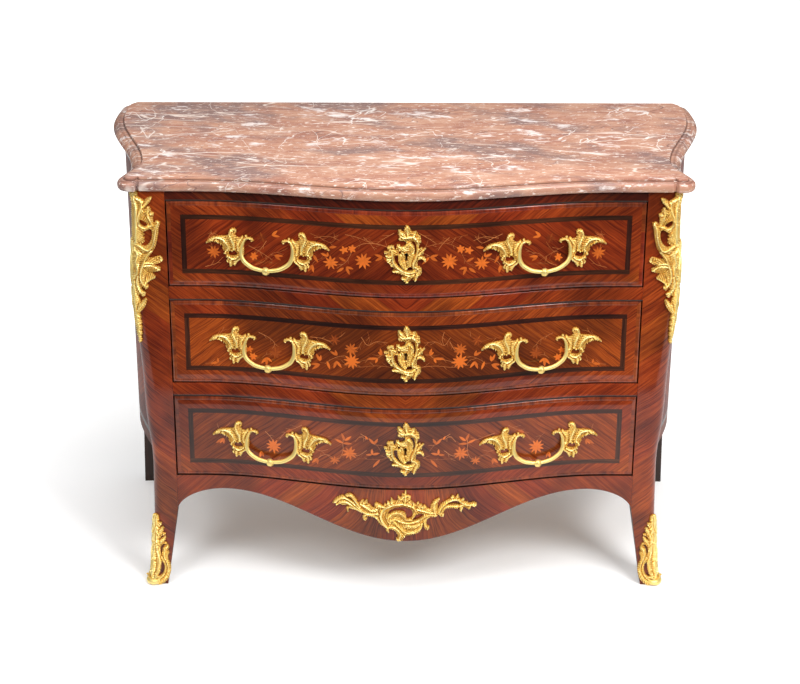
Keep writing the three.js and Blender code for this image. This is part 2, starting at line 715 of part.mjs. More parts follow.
function handle(x, middle, low, high) {
  const z = middle - handleDrop;
  const half = handleWidth / 2;
  const plate = facePlate(x - half, x + half, low, high, plateGap, plateGap + handlePlate);
  const leaves = [-1, 1].map((side) => {
    const place = (shares) => outline(shares, half, handleHeight, side, x, z);
    return plate.intersect(pierced(place(handleLeafShares), [place(handleHoleShares)], railBack, frontMost));
  });
  const line = [...bailShares, ...bailShares.slice().reverse().map(([a, ...rest]) => [-a, ...rest])];
  const points = line
    .map(([across, up, out]) => onFace(x + across * half, z + up * handleHeight, out * bailReach));
  const path = new THREE.CatmullRomCurve3(points).getPoints(bailSteps);
  const rounds = path.map((point, i) => {
    const place = (i / (path.length - 1)) * (line.length - 1);
    const [before, after] = [line[Math.floor(place)], line[Math.ceil(place)]];
    return bailRound * THREE.MathUtils.lerp(before[3], after[3], place % 1);
  });
  const lowest = bailShares[bailShares.length - 1];
  const budAt = onFace(x, z + lowest[1] * handleHeight - bailRound, lowest[2] * bailReach);
  const bud = new THREE.SphereGeometry(budRound, 8, 5).translate(budAt.x, budAt.y, budAt.z);
  return meshed(leaves[0].add(leaves[1]).add(solid(tube(path, rounds, bailSides))).add(solid(bud)));
}

function escutcheon(middle, low, high) {
  const z = middle + escutcheonLift;
  const width = escutcheonWidth;
  const height = escutcheonHeight;
  const place = (shares) => outline(shares, width, height, 1, 0, z);
  const plate = facePlate(-width, width, low, high, plateGap, plateGap + plateThickness);
  const holes = escutcheonHoleShares.map(place);
  let body = plate.intersect(pierced(place(escutcheonShares), holes, railBack, frontMost));
  escutcheonScrollShares.forEach((line) => {
    body = body.add(scroll(line, width, height, 0, z, plateGap + plateThickness, scrollRound));
  });
  return meshed(body.subtract(solid(keyholeCutter(middle))));
}

openings.forEach(({ low, high, middle }, k) => {
  const name = drawerNames[k];
  const z0 = low + drawerPlay + frontBevel;
  const z1 = high - drawerPlay - frontBevel;
  const inner = drawerSideOuter - drawerSideThickness;
  const floor = low + gap;
  const sideReach = frontFlat(high) - frontThickness - gap;
  add(`drawer_${name}_front`, drawerFront(low, high, middle), 'veneer');
  sideNames.forEach(([side, sign]) => {
    const wall = box(inner, drawerSideOuter, drawerBack, sideReach, floor, low + drawerSideHeight);
    add(`drawer_${name}_side_${side}`, sign > 0 ? wall : mirrored(wall), 'oak');
  });
  const backLift = low + drawerBottomLift + drawerBottomThickness + gap;
  const backEnd = drawerBack + drawerBackThickness;
  const backBoard = box(-inner + gap, inner - gap, drawerBack, backEnd, backLift, low + drawerSideHeight);
  add(`drawer_${name}_back`, backBoard, 'oak');
  add(`drawer_${name}_bottom`, drawerBottom(low), 'oak');
  add(`escutcheon_${name}`, escutcheon(middle, z0, z1), 'gilt');
  sideNames.forEach(([side, sign]) => {
    add(`handle_${name}_${side}`, handle(sign * handleMiddle, middle, z0, z1), 'gilt');
  });

  // lock case with a channel for its bolt
  const lockHigh = high - drawerPlay - lockTop;
  const lockBack = boltDepth(high) - lockThickness / 2;
  const lockLow = middle - keyholeDrop - keyholeHeight / 2 - lockBelow;
  const casing = box(-lockWidth / 2, lockWidth / 2, lockBack, lockBack + lockThickness, lockLow, lockHigh);
  const bolt = (play, low0, high0) => {
    const half = boltWidth / 2 + play;
    const thick = boltThickness / 2 + play;
    return box(-half, half, boltDepth(high) - thick, boltDepth(high) + thick, low0, high0);
  };
  const channel = bolt(boltPlay, lockHigh - boltLength - boltPlay, lockHigh + overrun);
  const hollow = solid(channel).add(solid(keyholeCutter(middle)));
  add(`lock_case_${name}`, meshed(solid(casing).subtract(hollow)), 'steel');
  add(`lock_bolt_${name}`, bolt(0, lockHigh - boltLength, lockHigh), 'steel');
});

// Mount on the apron

function apronMount() {
  const z = apronMountMiddle;
  const width = apronMountWidth;
  const height = apronMountHeight;
  const place = (shares) => outline(shares, width, height, 1, 0, z);
  const near = plateGap;
  const far = plateGap + plateThickness;
  const half = width / 2 + facet;
  const shell = skin(stations(-half, half).map((x) => {
    return [...apronSection(x, far), ...apronSection(x, near).reverse()];
  }));
  const cut = pierced(place(apronMountShares), apronMountHoleShares.map(place), railBack, frontMost);
  let body = solid(shell).intersect(cut);
  apronMountScrollShares.forEach((line) => {
    body = body.add(scroll(line, width, height, 0, z, far, scrollRound * 1.3));
  });
  return meshed(body);
}
add('apron_mount', apronMount(), 'gilt');

// Mounts that fold round the corner: outlines are cut square to the corner's diagonal

function diagonalPrism(points, holes, z) {
  const edge = frontFlat(z);
  const reach = caseDepth / 2;
  const cutter = pierced(points, holes, -reach, reach).rotate([0, 0, 45]);
  return cutter.translate([sideHalf(edge - cornerRound, z), -edge, 0]);
}

function bothHalves(shares, half, height, from, up) {
  const one = shares.map(([across, along]) => new THREE.Vector2(across * half, from + up * along * height));
  const other = one.slice().reverse().map((point) => new THREE.Vector2(-point.x, point.y));
  return [...one, ...other];
}

function cornerMount() {
  const top = cornerMountTop;
  const shell = solid(cornerShell(gap, cornerPlate, top - cornerMountHeight, top));
  const points = bothHalves(cornerMountShares, cornerMountHalf, cornerMountHeight, top, -1);
  const holes = [1, -1].map((side) => {
    return outline(cornerMountHoleShares, cornerMountHalf, -cornerMountHeight, side, 0, top);
  });
  return meshed(shell.intersect(diagonalPrism(points, holes, top - cornerMountHeight / 2)));
}
addPair('corner_mount', cornerMount(), 'gilt');

function sabot() {
  const shell = solid(cornerShell(gap, sabotPlate, 0, sabotHeight));
  const points = bothHalves(sabotShares, sabotHalf, sabotHeight, 0, 1);
  const shoe = shell.intersect(diagonalPrism(points, [], sabotHeight / 2));
  const outer = sideHalf(frontFlat(0) - footRound, 0) + (toeReach - footRound / 2) * Math.SQRT1_2;
  const front = frontFlat(0) + (toeReach - footRound / 2) * Math.SQRT1_2;
  const toe = new THREE.CylinderGeometry(toeRound, toeRound, toeHalf * 2, 12);
  toe.rotateZ(-Math.PI / 4).translate(outer, -front, toeRound);
  return meshed(shoe.add(solid(toe)).subtract(solid(legSolid(gap))));
}
addPair('sabot', sabot(), 'gilt');

// The wall plane and the front-most mount lie equally far from the origin
const extent = new THREE.Box3().setFromObject(commode);
commode.position.y = -(extent.min.y + extent.max.y) / 2;

export default commode;
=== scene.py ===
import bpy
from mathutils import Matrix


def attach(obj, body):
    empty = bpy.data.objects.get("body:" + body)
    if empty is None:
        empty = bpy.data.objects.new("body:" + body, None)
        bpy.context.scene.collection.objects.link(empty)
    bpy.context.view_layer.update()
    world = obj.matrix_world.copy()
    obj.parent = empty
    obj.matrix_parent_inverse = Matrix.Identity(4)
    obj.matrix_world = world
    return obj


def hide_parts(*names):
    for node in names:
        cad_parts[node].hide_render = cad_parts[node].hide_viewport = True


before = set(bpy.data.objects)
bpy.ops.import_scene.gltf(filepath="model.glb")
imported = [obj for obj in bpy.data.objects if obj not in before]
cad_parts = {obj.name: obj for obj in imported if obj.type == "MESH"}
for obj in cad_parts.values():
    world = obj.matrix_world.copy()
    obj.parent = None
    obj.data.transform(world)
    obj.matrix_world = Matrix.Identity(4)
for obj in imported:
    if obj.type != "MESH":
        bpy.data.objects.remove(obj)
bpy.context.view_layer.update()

import math
import random

import bmesh
import bpy
import numpy as np
from mathutils import Matrix, Vector
from mathutils.geometry import delaunay_2d_cdt

# Sizes in millimetres. Depths are measured forward from the wall; the front faces -Y.
MM = 0.001
WALL = 256.37  # Y of the wall plane
GAP = 0.3
OPENING_HALF, OPENING_HEIGHT = 454.5, 176
DRAWER_PLAY = 2
LEG_HEIGHT, CASE_HEIGHT = 244, 845
CASE_DEPTH = 431
DRAWERS = {"top": 738, "middle": 535, "bottom": 332}  # height of each drawer's middle

# BULGE, SWELL, SWAY and FOOT_BACK go by the share of the case's height, EDGE and EDGE_FILLET by the slab's
BULGE_HALF, BULGE_DEPTH = 400, 58
BULGE = [(0, 1), (0.5, 1), (0.735, 0.95), (1, 0.84)]
SWELL_DEPTH = 15
SWELL = [(0, 2.05), (0.06, 1.6), (0.18, 1.2), (0.285, 1), (0.5, 0.73), (0.735, 0.33), (1, 0)]
SIDE_HALF, SIDE_DEPTH, REAR_TUCK = 568, 75, 8
WAIST_HALF, WAIST_DEPTH = 505, 350
CORNER_HALF, CORNER_DEPTH = 523, 430
SWAY_REACH, SWAY_START, SWAY_END = 20, 200, 400
SWAY = [
    (0, -0.5), (0.035, -0.65), (0.095, -0.85), (0.175, -0.95), (0.26, -1), (0.34, -1), (0.42, -0.65),
    (0.555, -0.4), (0.63, -0.15), (0.71, 0.15), (0.885, 0.05), (1, -0.05),
]
SIDE_WALL, SIDE_ARCH, SIDE_KNEE, SIDE_KNEE_DROP = 20, 196, 70, 40
STILE_BACK, FOOT_INNER, FOOT_SHIFT = 376, 480, 56
FOOT_BACK = [(0, 1), (0.035, 0.93), (0.095, 0.66), (0.175, 0.22), (0.23, 0), (1, 0)]
CORNER_ROUND, FOOT_ROUND = 24, 9
REAR_DEPTH = 45
SIDE_REAR, SIDE_FRONT = REAR_DEPTH + GAP, STILE_BACK - GAP  # between the stiles
APRON_LOW, APRON_ARCH, APRON_ARCH_HALF, APRON_THICK = 128, 214, 356, 26
KNEE, KNEE_DROP = 100, 53.5
MARBLE_THICK, MARBLE_FRONT, MARBLE_SIDE = 25, 9, 21
LOBE_REACH, LOBE_ROUND = 12, 24
NOTCH_HALF, NOTCH_WIDTH, NOTCH_DEPTH = 505, 5, 9
EDGE_INSET = 12
EDGE = [(0, 0.5), (0.06, 0.22), (0.2, 0.04), (0.4, 0), (0.58, 0.06), (0.7, 0.2), (0.79, 0.42)]
EDGE_FILLET = [(0.77, 0.92), (0.795, 1.0), (0.8, 1.14), (0.92, 1.17), (0.985, 1.22), (1, 1.32)]
SIDE_SPREAD = 8  # the edge is that much broader along the ends of the slab


# Colours and nodes

def tint(code):
    """An sRGB hex colour as linear red, green, blue and alpha."""
    parts = [int(code[i:i + 2], 16) / 255 for i in (0, 2, 4)]
    return (*[c / 12.92 if c <= 0.04045 else ((c + 0.055) / 1.055) ** 2.4 for c in parts], 1.0)


def add(tree, kind, inputs=None, stops=None, fade="B_SPLINE", **settings):
    """Adds a node; a shader node's kind is given without its first two words. An input is a value, a socket, or a
    node whose first socket in use it takes. A colour ramp takes its stops as (place, hex)."""
    node = tree.nodes.new(kind if "Node" in kind else "ShaderNode" + kind)
    for name, value in settings.items():
        setattr(node, name, value)
    for name, value in (inputs or {}).items():
        if isinstance(value, bpy.types.Node):
            value = next(socket for socket in value.outputs if socket.enabled)
        if isinstance(value, bpy.types.NodeSocket):
            tree.links.new(value, node.inputs[name])
        else:
            node.inputs[name].default_value = value
    if stops:
        node.color_ramp.interpolation = fade
        points = node.color_ramp.elements
        while len(points) < len(stops):
            points.new(0.5)
        for point, (place, code) in zip(points, stops):
            point.position, point.color = place, tint(code)
    return node


def new_material(name):
    material = bpy.data.materials.new(name)
    material.use_nodes = True
    material.node_tree.nodes.clear()
    return material, material.node_tree


def wandering(tree, at, size, reach, detail):
    """Places pushed about by up to reach mm, in swells of a size in mm."""
    swells = add(tree, "TexNoise", {"Vector": at, "Scale": 1 / (size * MM), "Detail": detail})
    push = add(tree, "VectorMath", {0: swells.outputs["Color"], "Scale": reach * MM}, operation="SCALE")
    return add(tree, "VectorMath", {0: at, 1: push}, operation="ADD")


# Finishes

UNVARIED = 1  # scale along the third axis of a flat map, where nothing varies


def french_polish(tree, colour, height, depth, gloss=0.6):
    """Wood under French polish: a soft body colour below a deep, slightly rippled gloss."""
    ripple_size, ripple_depth = 16 * MM, 0.12 * MM
    spot = add(tree, "TexCoord").outputs["Object"]
    ripple = add(tree, "TexNoise", {"Vector": spot, "Scale": 1 / ripple_size, "Detail": 1.0})
    bump = add(tree, "Bump", {"Height": height, "Strength": 0.3, "Distance": depth * MM})
    film = add(tree, "Bump", {"Height": ripple, "Strength": 0.2, "Distance": ripple_depth, "Normal": bump})
    add(tree, "OutputMaterial", {"Surface": add(tree, "BsdfPrincipled", {
        "Base Color": colour, "Roughness": 0.42, "Specular IOR Level": 0.12, "Coat Weight": gloss,
        "Coat Roughness": 0.14 - 0.1 * gloss, "Normal": bump, "Coat Normal": film})})


def veneer(name, stops, width, length, strip=400, contrast=0.5, dark=0.35, gloss=0.6, middle_reflection=1.0):
    """A sliced veneer, streaked along V of its own map and jointed in strips; each strip has its own cut and tone.
    The last argument sets how dark the middle of the front is painted, as a dark reflection there."""
    material, tree = new_material(name)
    flat = add(tree, "UVMap", uv_map="grain")
    piece = add(tree, "Attribute", attribute_name="leaf").outputs["Fac"]
    across = add(tree, "SeparateXYZ", {0: flat}).outputs["X"]
    place = add(tree, "Math", {0: across, 1: 1 / (strip * MM), 2: piece}, operation="MULTIPLY_ADD")
    number = add(tree, "Math", {0: place}, operation="FLOOR")
    leaf = add(tree, "TexWhiteNoise", {"W": number}, noise_dimensions="1D").outputs["Value"]
    cut = add(tree, "Math", {0: leaf, 1: 7.0, 2: piece}, operation="MULTIPLY_ADD")
    lift = add(tree, "CombineXYZ", {"Z": cut})
    spot = add(tree, "VectorMath", {0: flat, 1: lift}, operation="ADD")
    # the grain wanders a little from straight
    bent = wandering(tree, spot, 70, 11, 2.0)
    # soft figure, dark growth lines, then the finest lines between them: width and length in mm, detail, roughness
    layers = []
    for thin, long, detail, rough in ((width, length, 4.0, 0.62), (width * 0.3, length * 0.8, 2.0, 0.4),
                                      (1.1, 26, 2.0, 0.5)):
        lay = add(tree, "Mapping", {"Vector": bent, "Scale": (thin * MM, long * MM, UNVARIED)}, vector_type="TEXTURE")
        layers.append(add(tree, "TexNoise", {"Vector": lay, "Scale": 1.0, "Detail": detail, "Roughness": rough}))
    figure, growth, lines = layers
    body = add(tree, "ValToRGB", {"Fac": figure}, stops=stops)
    streak = add(tree, "ValToRGB", {"Fac": growth}, stops=[(0.3, "14080a"), (0.37, "8a5a4c"), (0.47, "ffffff")])
    streaked = add(tree, "Mix", {0: dark, 6: body, 7: streak}, data_type="RGBA", blend_type="MULTIPLY")
    thread = add(tree, "ValToRGB", {"Fac": lines}, stops=[(0.3, "8a6152"), (0.5, "f0e2d8"), (0.7, "ffffff")])
    wood = add(tree, "Mix", {0: 0.5, 6: streaked, 7: thread}, data_type="RGBA", blend_type="MULTIPLY")
    # broad zones where the wood or its polish has darkened
    zone_size = 130 * MM
    place = add(tree, "TexCoord").outputs["Object"]
    zones = add(tree, "TexNoise", {"Vector": place, "Scale": 1 / zone_size, "Detail": 2.0})
    shade = add(tree, "MapRange", {0: zones, 1: 0.36, 2: 0.6, 3: 0.54, 4: 1.14})
    # darker towards the floor; and a painted dark reflection across the middle of the front
    at = add(tree, "SeparateXYZ", {0: place})
    foot = add(tree, "MapRange", {0: at.outputs["Z"], 1: 0.03, 2: 0.24, 3: 0.6, 4: 1.0})
    # painted reflection: the middle of the front, near x = 0, is darkened to the given level
    beside = add(tree, "Math", {0: at.outputs["X"]}, operation="ABSOLUTE")
    middle = add(tree, "MapRange", {0: beside, 1: 0.1, 2: 0.34, 3: middle_reflection, 4: 1.06})
    cut_tone = add(tree, "MapRange", {0: leaf, 3: 1 - contrast * 0.5, 4: 1 + contrast * 0.4})
    tone = add(tree, "Math", {0: foot, 1: middle}, operation="MULTIPLY")
    for factor in (shade, cut_tone):
        tone = add(tree, "Math", {0: factor, 1: tone}, operation="MULTIPLY")
    warmth = add(tree, "MapRange", {0: leaf, 3: 0.492, 4: 0.505})
    matched = add(tree, "HueSaturation", {"Hue": warmth, "Value": tone, "Color": wood})
    french_polish(tree, matched, lines, 0.05, gloss)
    return material


def inlay_wood(name, dark, bright):
    """Cut pieces of light wood: each has its own tone, with fine grain along it."""
    material, tree = new_material(name)
    flat = add(tree, "UVMap", uv_map="grain")
    piece = add(tree, "Attribute", attribute_name="leaf").outputs["Fac"]
    lay = add(tree, "Mapping", {"Vector": flat, "Scale": (0.8 * MM, 14 * MM, UNVARIED)}, vector_type="TEXTURE")
    lines = add(tree, "TexNoise", {"Vector": lay, "Scale": 1.0, "Detail": 2.0})
    level = add(tree, "Math", {0: lines, 1: 0.4, 2: piece}, operation="MULTIPLY_ADD")
    colour = add(tree, "ValToRGB", {"Fac": level}, stops=[(0.2, dark), (1.0, bright)], fade="LINEAR")
    french_polish(tree, colour, lines, 0.04)
    return material


def marble(name):
    """Polished rouge marble: pinkish tan, grey clouds, white flecks drawn out along the slab, long white veins."""
    material, tree = new_material(name)
    bent = wandering(tree, add(tree, "TexCoord").outputs["Object"], 110, 12, 3.0)
    # noises drawn out along the slab: size in mm, stretch, turn, detail, roughness
    layers = {}
    for label, size, stretch, turn, detail, rough in (
            ("ground", 46, 2.4, 4, 5, 0.68), ("clouds", 105, 2.1, -14, 4, 0.62), ("streaks", 7, 5, 2, 4, 0.65),
            ("flecks", 5, 3.2, 3, 4, 0.6), ("specks", 2.4, 1.6, 0, 2, 0.5), ("patches", 34, 2.6, -8, 6, 0.68),
            ("long_vein", 170, 7.0, 2, 3, 0.42), ("second_vein", 140, 5.5, -6, 3, 0.42),
            ("cross_vein", 230, 2.4, 50, 5, 0.5), ("back_vein", 300, 2.2, -66, 5, 0.5),
            ("breaks", 75, 2.4, 8, 3, 0.5), ("dark_vein", 110, 2.6, 22, 3, 0.55)):
        lay = add(tree, "Mapping", {
            "Vector": bent, "Scale": (size * stretch * MM, size * MM, size * MM),
            "Rotation": (0, 0, math.radians(turn)), "Location": (0.1 * len(layers), 0, 0)}, vector_type="TEXTURE")
        layers[label] = add(tree, "TexNoise", {"Vector": lay, "Scale": 1.0, "Detail": detail, "Roughness": rough})
    surface = add(tree, "ValToRGB", {"Fac": layers["ground"]}, stops=[
        (0.3, "926357"), (0.42, "ae7b68"), (0.52, "ba8971"), (0.64, "c5977f"), (0.78, "d2ae9b")])
    # over the ground, each where its noise is high: clouds, drawn streaks, patches, flecks and specks
    for label, start, full, most, colour in (
            ("clouds", 0.49, 0.62, 0.85, "846c69"), ("streaks", 0.5, 0.7, 0.6, "d6b09a"),
            ("patches", 0.58, 0.66, 0.9, "f0e4df"), ("flecks", 0.6, 0.66, 0.9, "f4e6db"),
            ("specks", 0.68, 0.74, 0.6, "f2e6dc")):
        share = add(tree, "MapRange", {0: layers[label], 1: start, 2: full, 4: most})
        surface = add(tree, "Mix", {0: share, 6: surface, 7: tint(colour)}, data_type="RGBA")
    # veins: thin bands where a broad noise crosses its middle, broken along their length
    broken = add(tree, "MapRange", {0: layers["breaks"], 1: 0.46, 2: 0.56})
    for label, thin, colour in (("dark_vein", 0.004, "7d5e58"), ("long_vein", 0.005, "f3e2d6"),
                                ("second_vein", 0.004, "f0dccf"), ("cross_vein", 0.0028, "f6ede6"),
                                ("back_vein", 0.0018, "f0e4da")):
        away = add(tree, "Math", {0: layers[label], 1: 0.5}, operation="SUBTRACT")
        near = add(tree, "Math", {0: away}, operation="ABSOLUTE")
        line = add(tree, "MapRange", {0: near, 1: thin, 2: thin * 0.2, 3: 0.0, 4: 0.8})
        vein = add(tree, "Math", {0: line, 1: broken}, operation="MULTIPLY")
        surface = add(tree, "Mix", {0: vein, 6: surface, 7: tint(colour)}, data_type="RGBA")
    # painted shade in the groove of the moulding
    groove = add(tree, "Attribute", attribute_name="groove").outputs["Fac"]
    painted_shade = add(tree, "Math", {0: groove, 1: 0.75}, operation="MULTIPLY")
    surface = add(tree, "Mix", {0: painted_shade, 6: surface, 7: tint("4e2f28")}, data_type="RGBA")
    bump = add(tree, "Bump", {"Height": layers["specks"], "Strength": 0.03, "Distance": 0.05 * MM})
    dull = add(tree, "MapRange", {0: layers["flecks"], 3: 0.14, 4: 0.24})
    add(tree, "OutputMaterial", {"Surface": add(tree, "BsdfPrincipled", {
        "Base Color": surface, "Roughness": dull, "Normal": bump})})
    return material


def gilt_bronze(name):
    """Fire-gilt bronze: burnished yellow ridges, matt and darker in the hollows of the chasing."""
    material, tree = new_material(name)
    punch, patch = 1.3 * MM, 9 * MM
    spot = add(tree, "TexCoord").outputs["Object"]
    relief = add(tree, "Attribute", attribute_name="relief").outputs["Fac"]
    punched = add(tree, "TexVoronoi", {"Vector": spot, "Scale": 1 / punch})
    cloud = add(tree, "TexNoise", {"Vector": spot, "Scale": 1 / patch, "Detail": 3.0})
    worn = add(tree, "Math", {0: cloud, 1: 0.5}, operation="SUBTRACT")
    level = add(tree, "Math", {0: worn, 1: 0.3, 2: relief}, operation="MULTIPLY_ADD")
    colour = add(tree, "ValToRGB", {"Fac": level},
                 stops=[(0.0, "a0641c"), (0.26, "f2b646"), (0.5, "ffdf7c"), (1.0, "fff3b0")])
    rough = add(tree, "MapRange", {0: level, 3: 0.6, 4: 0.3})
    burnished = add(tree, "MapRange", {0: level, 3: 0.55, 4: 0.85})
    bump = add(tree, "Bump", {"Height": punched, "Strength": 0.35, "Distance": 0.2 * MM})
    add(tree, "OutputMaterial", {"Surface": add(tree, "BsdfPrincipled", {
        "Base Color": colour, "Metallic": burnished, "Roughness": rough, "Normal": bump})})
    return material


def sawn_board(name, codes, axis, pores=0.3, roughness=0.62):
    """Plain sawn timber: open grain running along one axis of the piece, waxed but not polished."""
    material, tree = new_material(name)
    spot = add(tree, "TexCoord").outputs["Object"]
    # growth rings, then fine grain: length and width in mm, detail, roughness
    layers = []
    for length, width, detail, rough in ((420, 12, 5.0, 0.6), (60, 1.3, 2.0, 0.5)):
        size = [(length if axis == i else width) * MM for i in range(3)]
        lay = add(tree, "Mapping", {"Vector": spot, "Scale": size}, vector_type="TEXTURE")
        layers.append(add(tree, "TexNoise", {"Vector": lay, "Scale": 1.0, "Detail": detail, "Roughness": rough}))
    rings, fine = layers
    colour = add(tree, "ValToRGB", {"Fac": rings}, stops=list(zip((0.3, 0.5, 0.75), codes)))
    both = add(tree, "Mix", {0: 0.3, 6: colour, 7: fine}, data_type="RGBA", blend_type="OVERLAY")
    bump = add(tree, "Bump", {"Height": fine, "Strength": 0.3, "Distance": pores * MM})
    add(tree, "OutputMaterial", {"Surface": add(tree, "BsdfPrincipled", {
        "Base Color": both, "Roughness": roughness, "Normal": bump})})
    return material


def filed_iron(name):
    """Filed iron of the locks: grey, with fine file marks and a little tarnish."""
    material, tree = new_material(name)
    spot = add(tree, "TexCoord").outputs["Object"]
    lay = add(tree, "Mapping", {"Vector": spot, "Scale": (22 * MM, 1 * MM, 0.7 * MM)}, vector_type="TEXTURE")
    marks = add(tree, "TexNoise", {"Vector": lay, "Scale": 1.0, "Detail": 2.0})
    colour = add(tree, "ValToRGB", {"Fac": marks}, stops=[(0.35, "5c5a57"), (0.65, "9b9b98")])
    bump = add(tree, "Bump", {"Height": marks, "Strength": 0.3, "Distance": 0.05 * MM})
    add(tree, "OutputMaterial", {"Surface": add(tree, "BsdfPrincipled", {
        "Base Color": colour, "Metallic": 1.0, "Roughness": 0.42, "Normal": bump})})
    return material


# the woods of the case: colours from dark to light, then the width and length of the figure in mm
KINGWOOD = veneer("kingwood_crossbanding", [
    (0.26, "63220b"), (0.42, "85360f"), (0.56, "9b4415"), (0.74, "b0541d")], 5, 120, strip=58, contrast=0.36, dark=0.6)
# painted shadow: the frieze under the slab is kingwood coloured darker, for the slab's shadow on it
FRIEZE_SHADOW_WOOD = veneer("darkened_kingwood_frieze", [
    (0.26, "2e0f07"), (0.42, "4a1c0b"), (0.56, "5f2610"), (0.74, "7c3516")], 5, 120, strip=58, contrast=0.3)
SIDE_WOOD = veneer("kingwood_side_field", [
    (0.28, "4a1a0b"), (0.42, "6c2c10"), (0.56, "80391a"), (0.75, "93471d")], 8, 200, strip=62, contrast=0.2, gloss=0.1)
# the field's middle is painted darker, as a dark reflection across the bulge of the front
FIELD_WOOD = veneer("kingwood_field", [
    (0.26, "62210b"), (0.42, "86360e"), (0.56, "9a4214"), (0.75, "b0531b")], 4.5, 130, strip=900, contrast=0.15,
    dark=0.62, middle_reflection=0.72)
EDGE_WOOD = veneer("cross_cut_kingwood_edge", [
    (0.3, "54200d"), (0.45, "7a3112"), (0.6, "913f17"), (0.8, "a34d1f")], 14, 160, strip=300, contrast=0.1, dark=0.3,
    gloss=0.8)
BAND_WOOD = veneer("ebonised_stringing", [(0.3, "28120a"), (0.5, "3f2012"), (0.75, "58321d")], 5, 160, dark=0.3)
PETAL_WOOD = inlay_wood("sand_shaded_satinwood", "6a280d", "d86c26")
LEAF_WOOD = inlay_wood("stained_boxwood", "8a421c", "c07440")
MARBLE = marble("polished_rouge_marble")
GILT = gilt_bronze("fire_gilt_bronze")
OAK_ACROSS = sawn_board("quartered_oak_along_x", ("7d5a36", "a27a4d", "b99468"), 0)
OAK_DEEP = sawn_board("quartered_oak_along_y", ("7d5a36", "a27a4d", "b99468"), 1)
STAINED = sawn_board("dark_stained_beech", ("1c0e08", "2e180e", "432618"), 2, pores=0.1, roughness=0.4)
IRON = filed_iron("filed_iron")


# Curves of the case: half widths and depths in mm at a height z

def along(table, share):
    """A smooth curve through a table of (place, value)."""
    places, values = np.array(table, float).T
    slopes = np.gradient(values, places)
    share = np.clip(share, places[0], places[-1])
    i = np.clip(np.searchsorted(places, share) - 1, 0, len(places) - 2)
    step = places[i + 1] - places[i]
    t = (share - places[i]) / step
    return ((2 * t ** 3 - 3 * t ** 2 + 1) * values[i] + (t ** 3 - 2 * t ** 2 + t) * step * slopes[i]
            + (3 * t ** 2 - 2 * t ** 3) * values[i + 1] + (t ** 3 - t ** 2) * step * slopes[i + 1])


def swing(t):
    return (1 - np.cos(np.pi * np.clip(t, 0, 1))) / 2


def quarter_drop(past):
    """How far a quarter circle of radius 1 has dropped, past its start."""
    return 1 - np.sqrt(1 - past ** 2)


def front_flat(z):
    return CASE_DEPTH + SWELL_DEPTH * along(SWELL, z / CASE_HEIGHT)


def front_depth(x, z):
    swell = BULGE_DEPTH * along(BULGE, z / CASE_HEIGHT)
    return front_flat(z) + swell * swing(1 - np.abs(x) / BULGE_HALF)


def side_plan(depth):
    rear = SIDE_HALF - REAR_TUCK * (1 - np.minimum(depth, SIDE_DEPTH) / SIDE_DEPTH) ** 2
    drawn_in = swing((depth - SIDE_DEPTH) / (WAIST_DEPTH - SIDE_DEPTH))
    flare = swing((depth - WAIST_DEPTH) / (CORNER_DEPTH - WAIST_DEPTH))
    return rear - (SIDE_HALF - WAIST_HALF) * drawn_in + (CORNER_HALF - WAIST_HALF) * flare


def sway_at(depth):
    return SWAY_REACH * swing((depth - SWAY_START) / (SWAY_END - SWAY_START))


def side_half(depth, z):
    return side_plan(depth) + sway_at(depth) * along(SWAY, z / CASE_HEIGHT)


def side_low(depth):
    past = 1 - np.clip(np.minimum(depth - SIDE_REAR, SIDE_FRONT - depth) / SIDE_KNEE, 0, 1)
    return SIDE_ARCH - SIDE_KNEE_DROP * quarter_drop(past)


def apron_low(x):
    across = np.abs(x)
    rise = APRON_LOW + (APRON_ARCH - APRON_LOW) * swing(across / APRON_ARCH_HALF)
    return rise - KNEE_DROP * quarter_drop(np.maximum(0, across - APRON_ARCH_HALF) / KNEE)


KNEE_HEIGHT = float(apron_low(OPENING_HALF))  # where the apron meets the legs


def corner_curve(z):
    """Outer half width, arc centre depth and arc radius of a stile."""
    round_ = FOOT_ROUND + (CORNER_ROUND - FOOT_ROUND) * np.minimum(1, z / LEG_HEIGHT)
    edge = front_flat(z) - round_
    return side_half(edge, z), edge, round_


# Meshes: points are (x, depth, z) in millimetres

def turn_outward(mesh):
    body = bmesh.new()
    body.from_mesh(mesh)
    if body.calc_volume(signed=True) < 0:
        bmesh.ops.reverse_faces(body, faces=body.faces)
        body.to_mesh(mesh)
    body.free()


def mesh_of(name, points, faces=()):
    mesh = bpy.data.meshes.new(name)
    mesh.from_pydata(np.asarray(points, float).tolist(), [], [list(map(int, face)) for face in faces])
    return mesh


def in_scene(name, data):
    thing = bpy.data.objects.new(name, data)
    bpy.context.scene.collection.objects.link(thing)
    return thing


def keep(mesh, label, values, domain="POINT"):
    """Keeps a number, or a row of three, for each point or face of a mesh."""
    values = np.asarray(values, np.float32)
    kind, key = ("FLOAT_VECTOR", "vector") if values.ndim == 2 else ("FLOAT", "value")
    mesh.attributes.new(label, kind, domain).data.foreach_set(key, values.ravel())


def from_wall(x, depth, z):
    """Places in metres, Y forward from the wall turned to the scene's."""
    return np.stack([x, WALL - depth, z], 1) * MM


def build(name, points, faces, finishes, which=None, smooth=40):
    """An object from points and faces; which gives each face's finish."""
    mesh = mesh_of(name, from_wall(*np.asarray(points, float).T), faces)
    for finish in finishes:
        mesh.materials.append(finish)
    if which is not None:
        mesh.polygons.foreach_set("material_index", np.asarray(which, np.int32))
    turn_outward(mesh)
    mesh.polygons.foreach_set("use_smooth", np.ones(len(mesh.polygons), bool))
    mesh.set_sharp_from_angle(angle=math.radians(smooth))
    return in_scene(name, mesh)


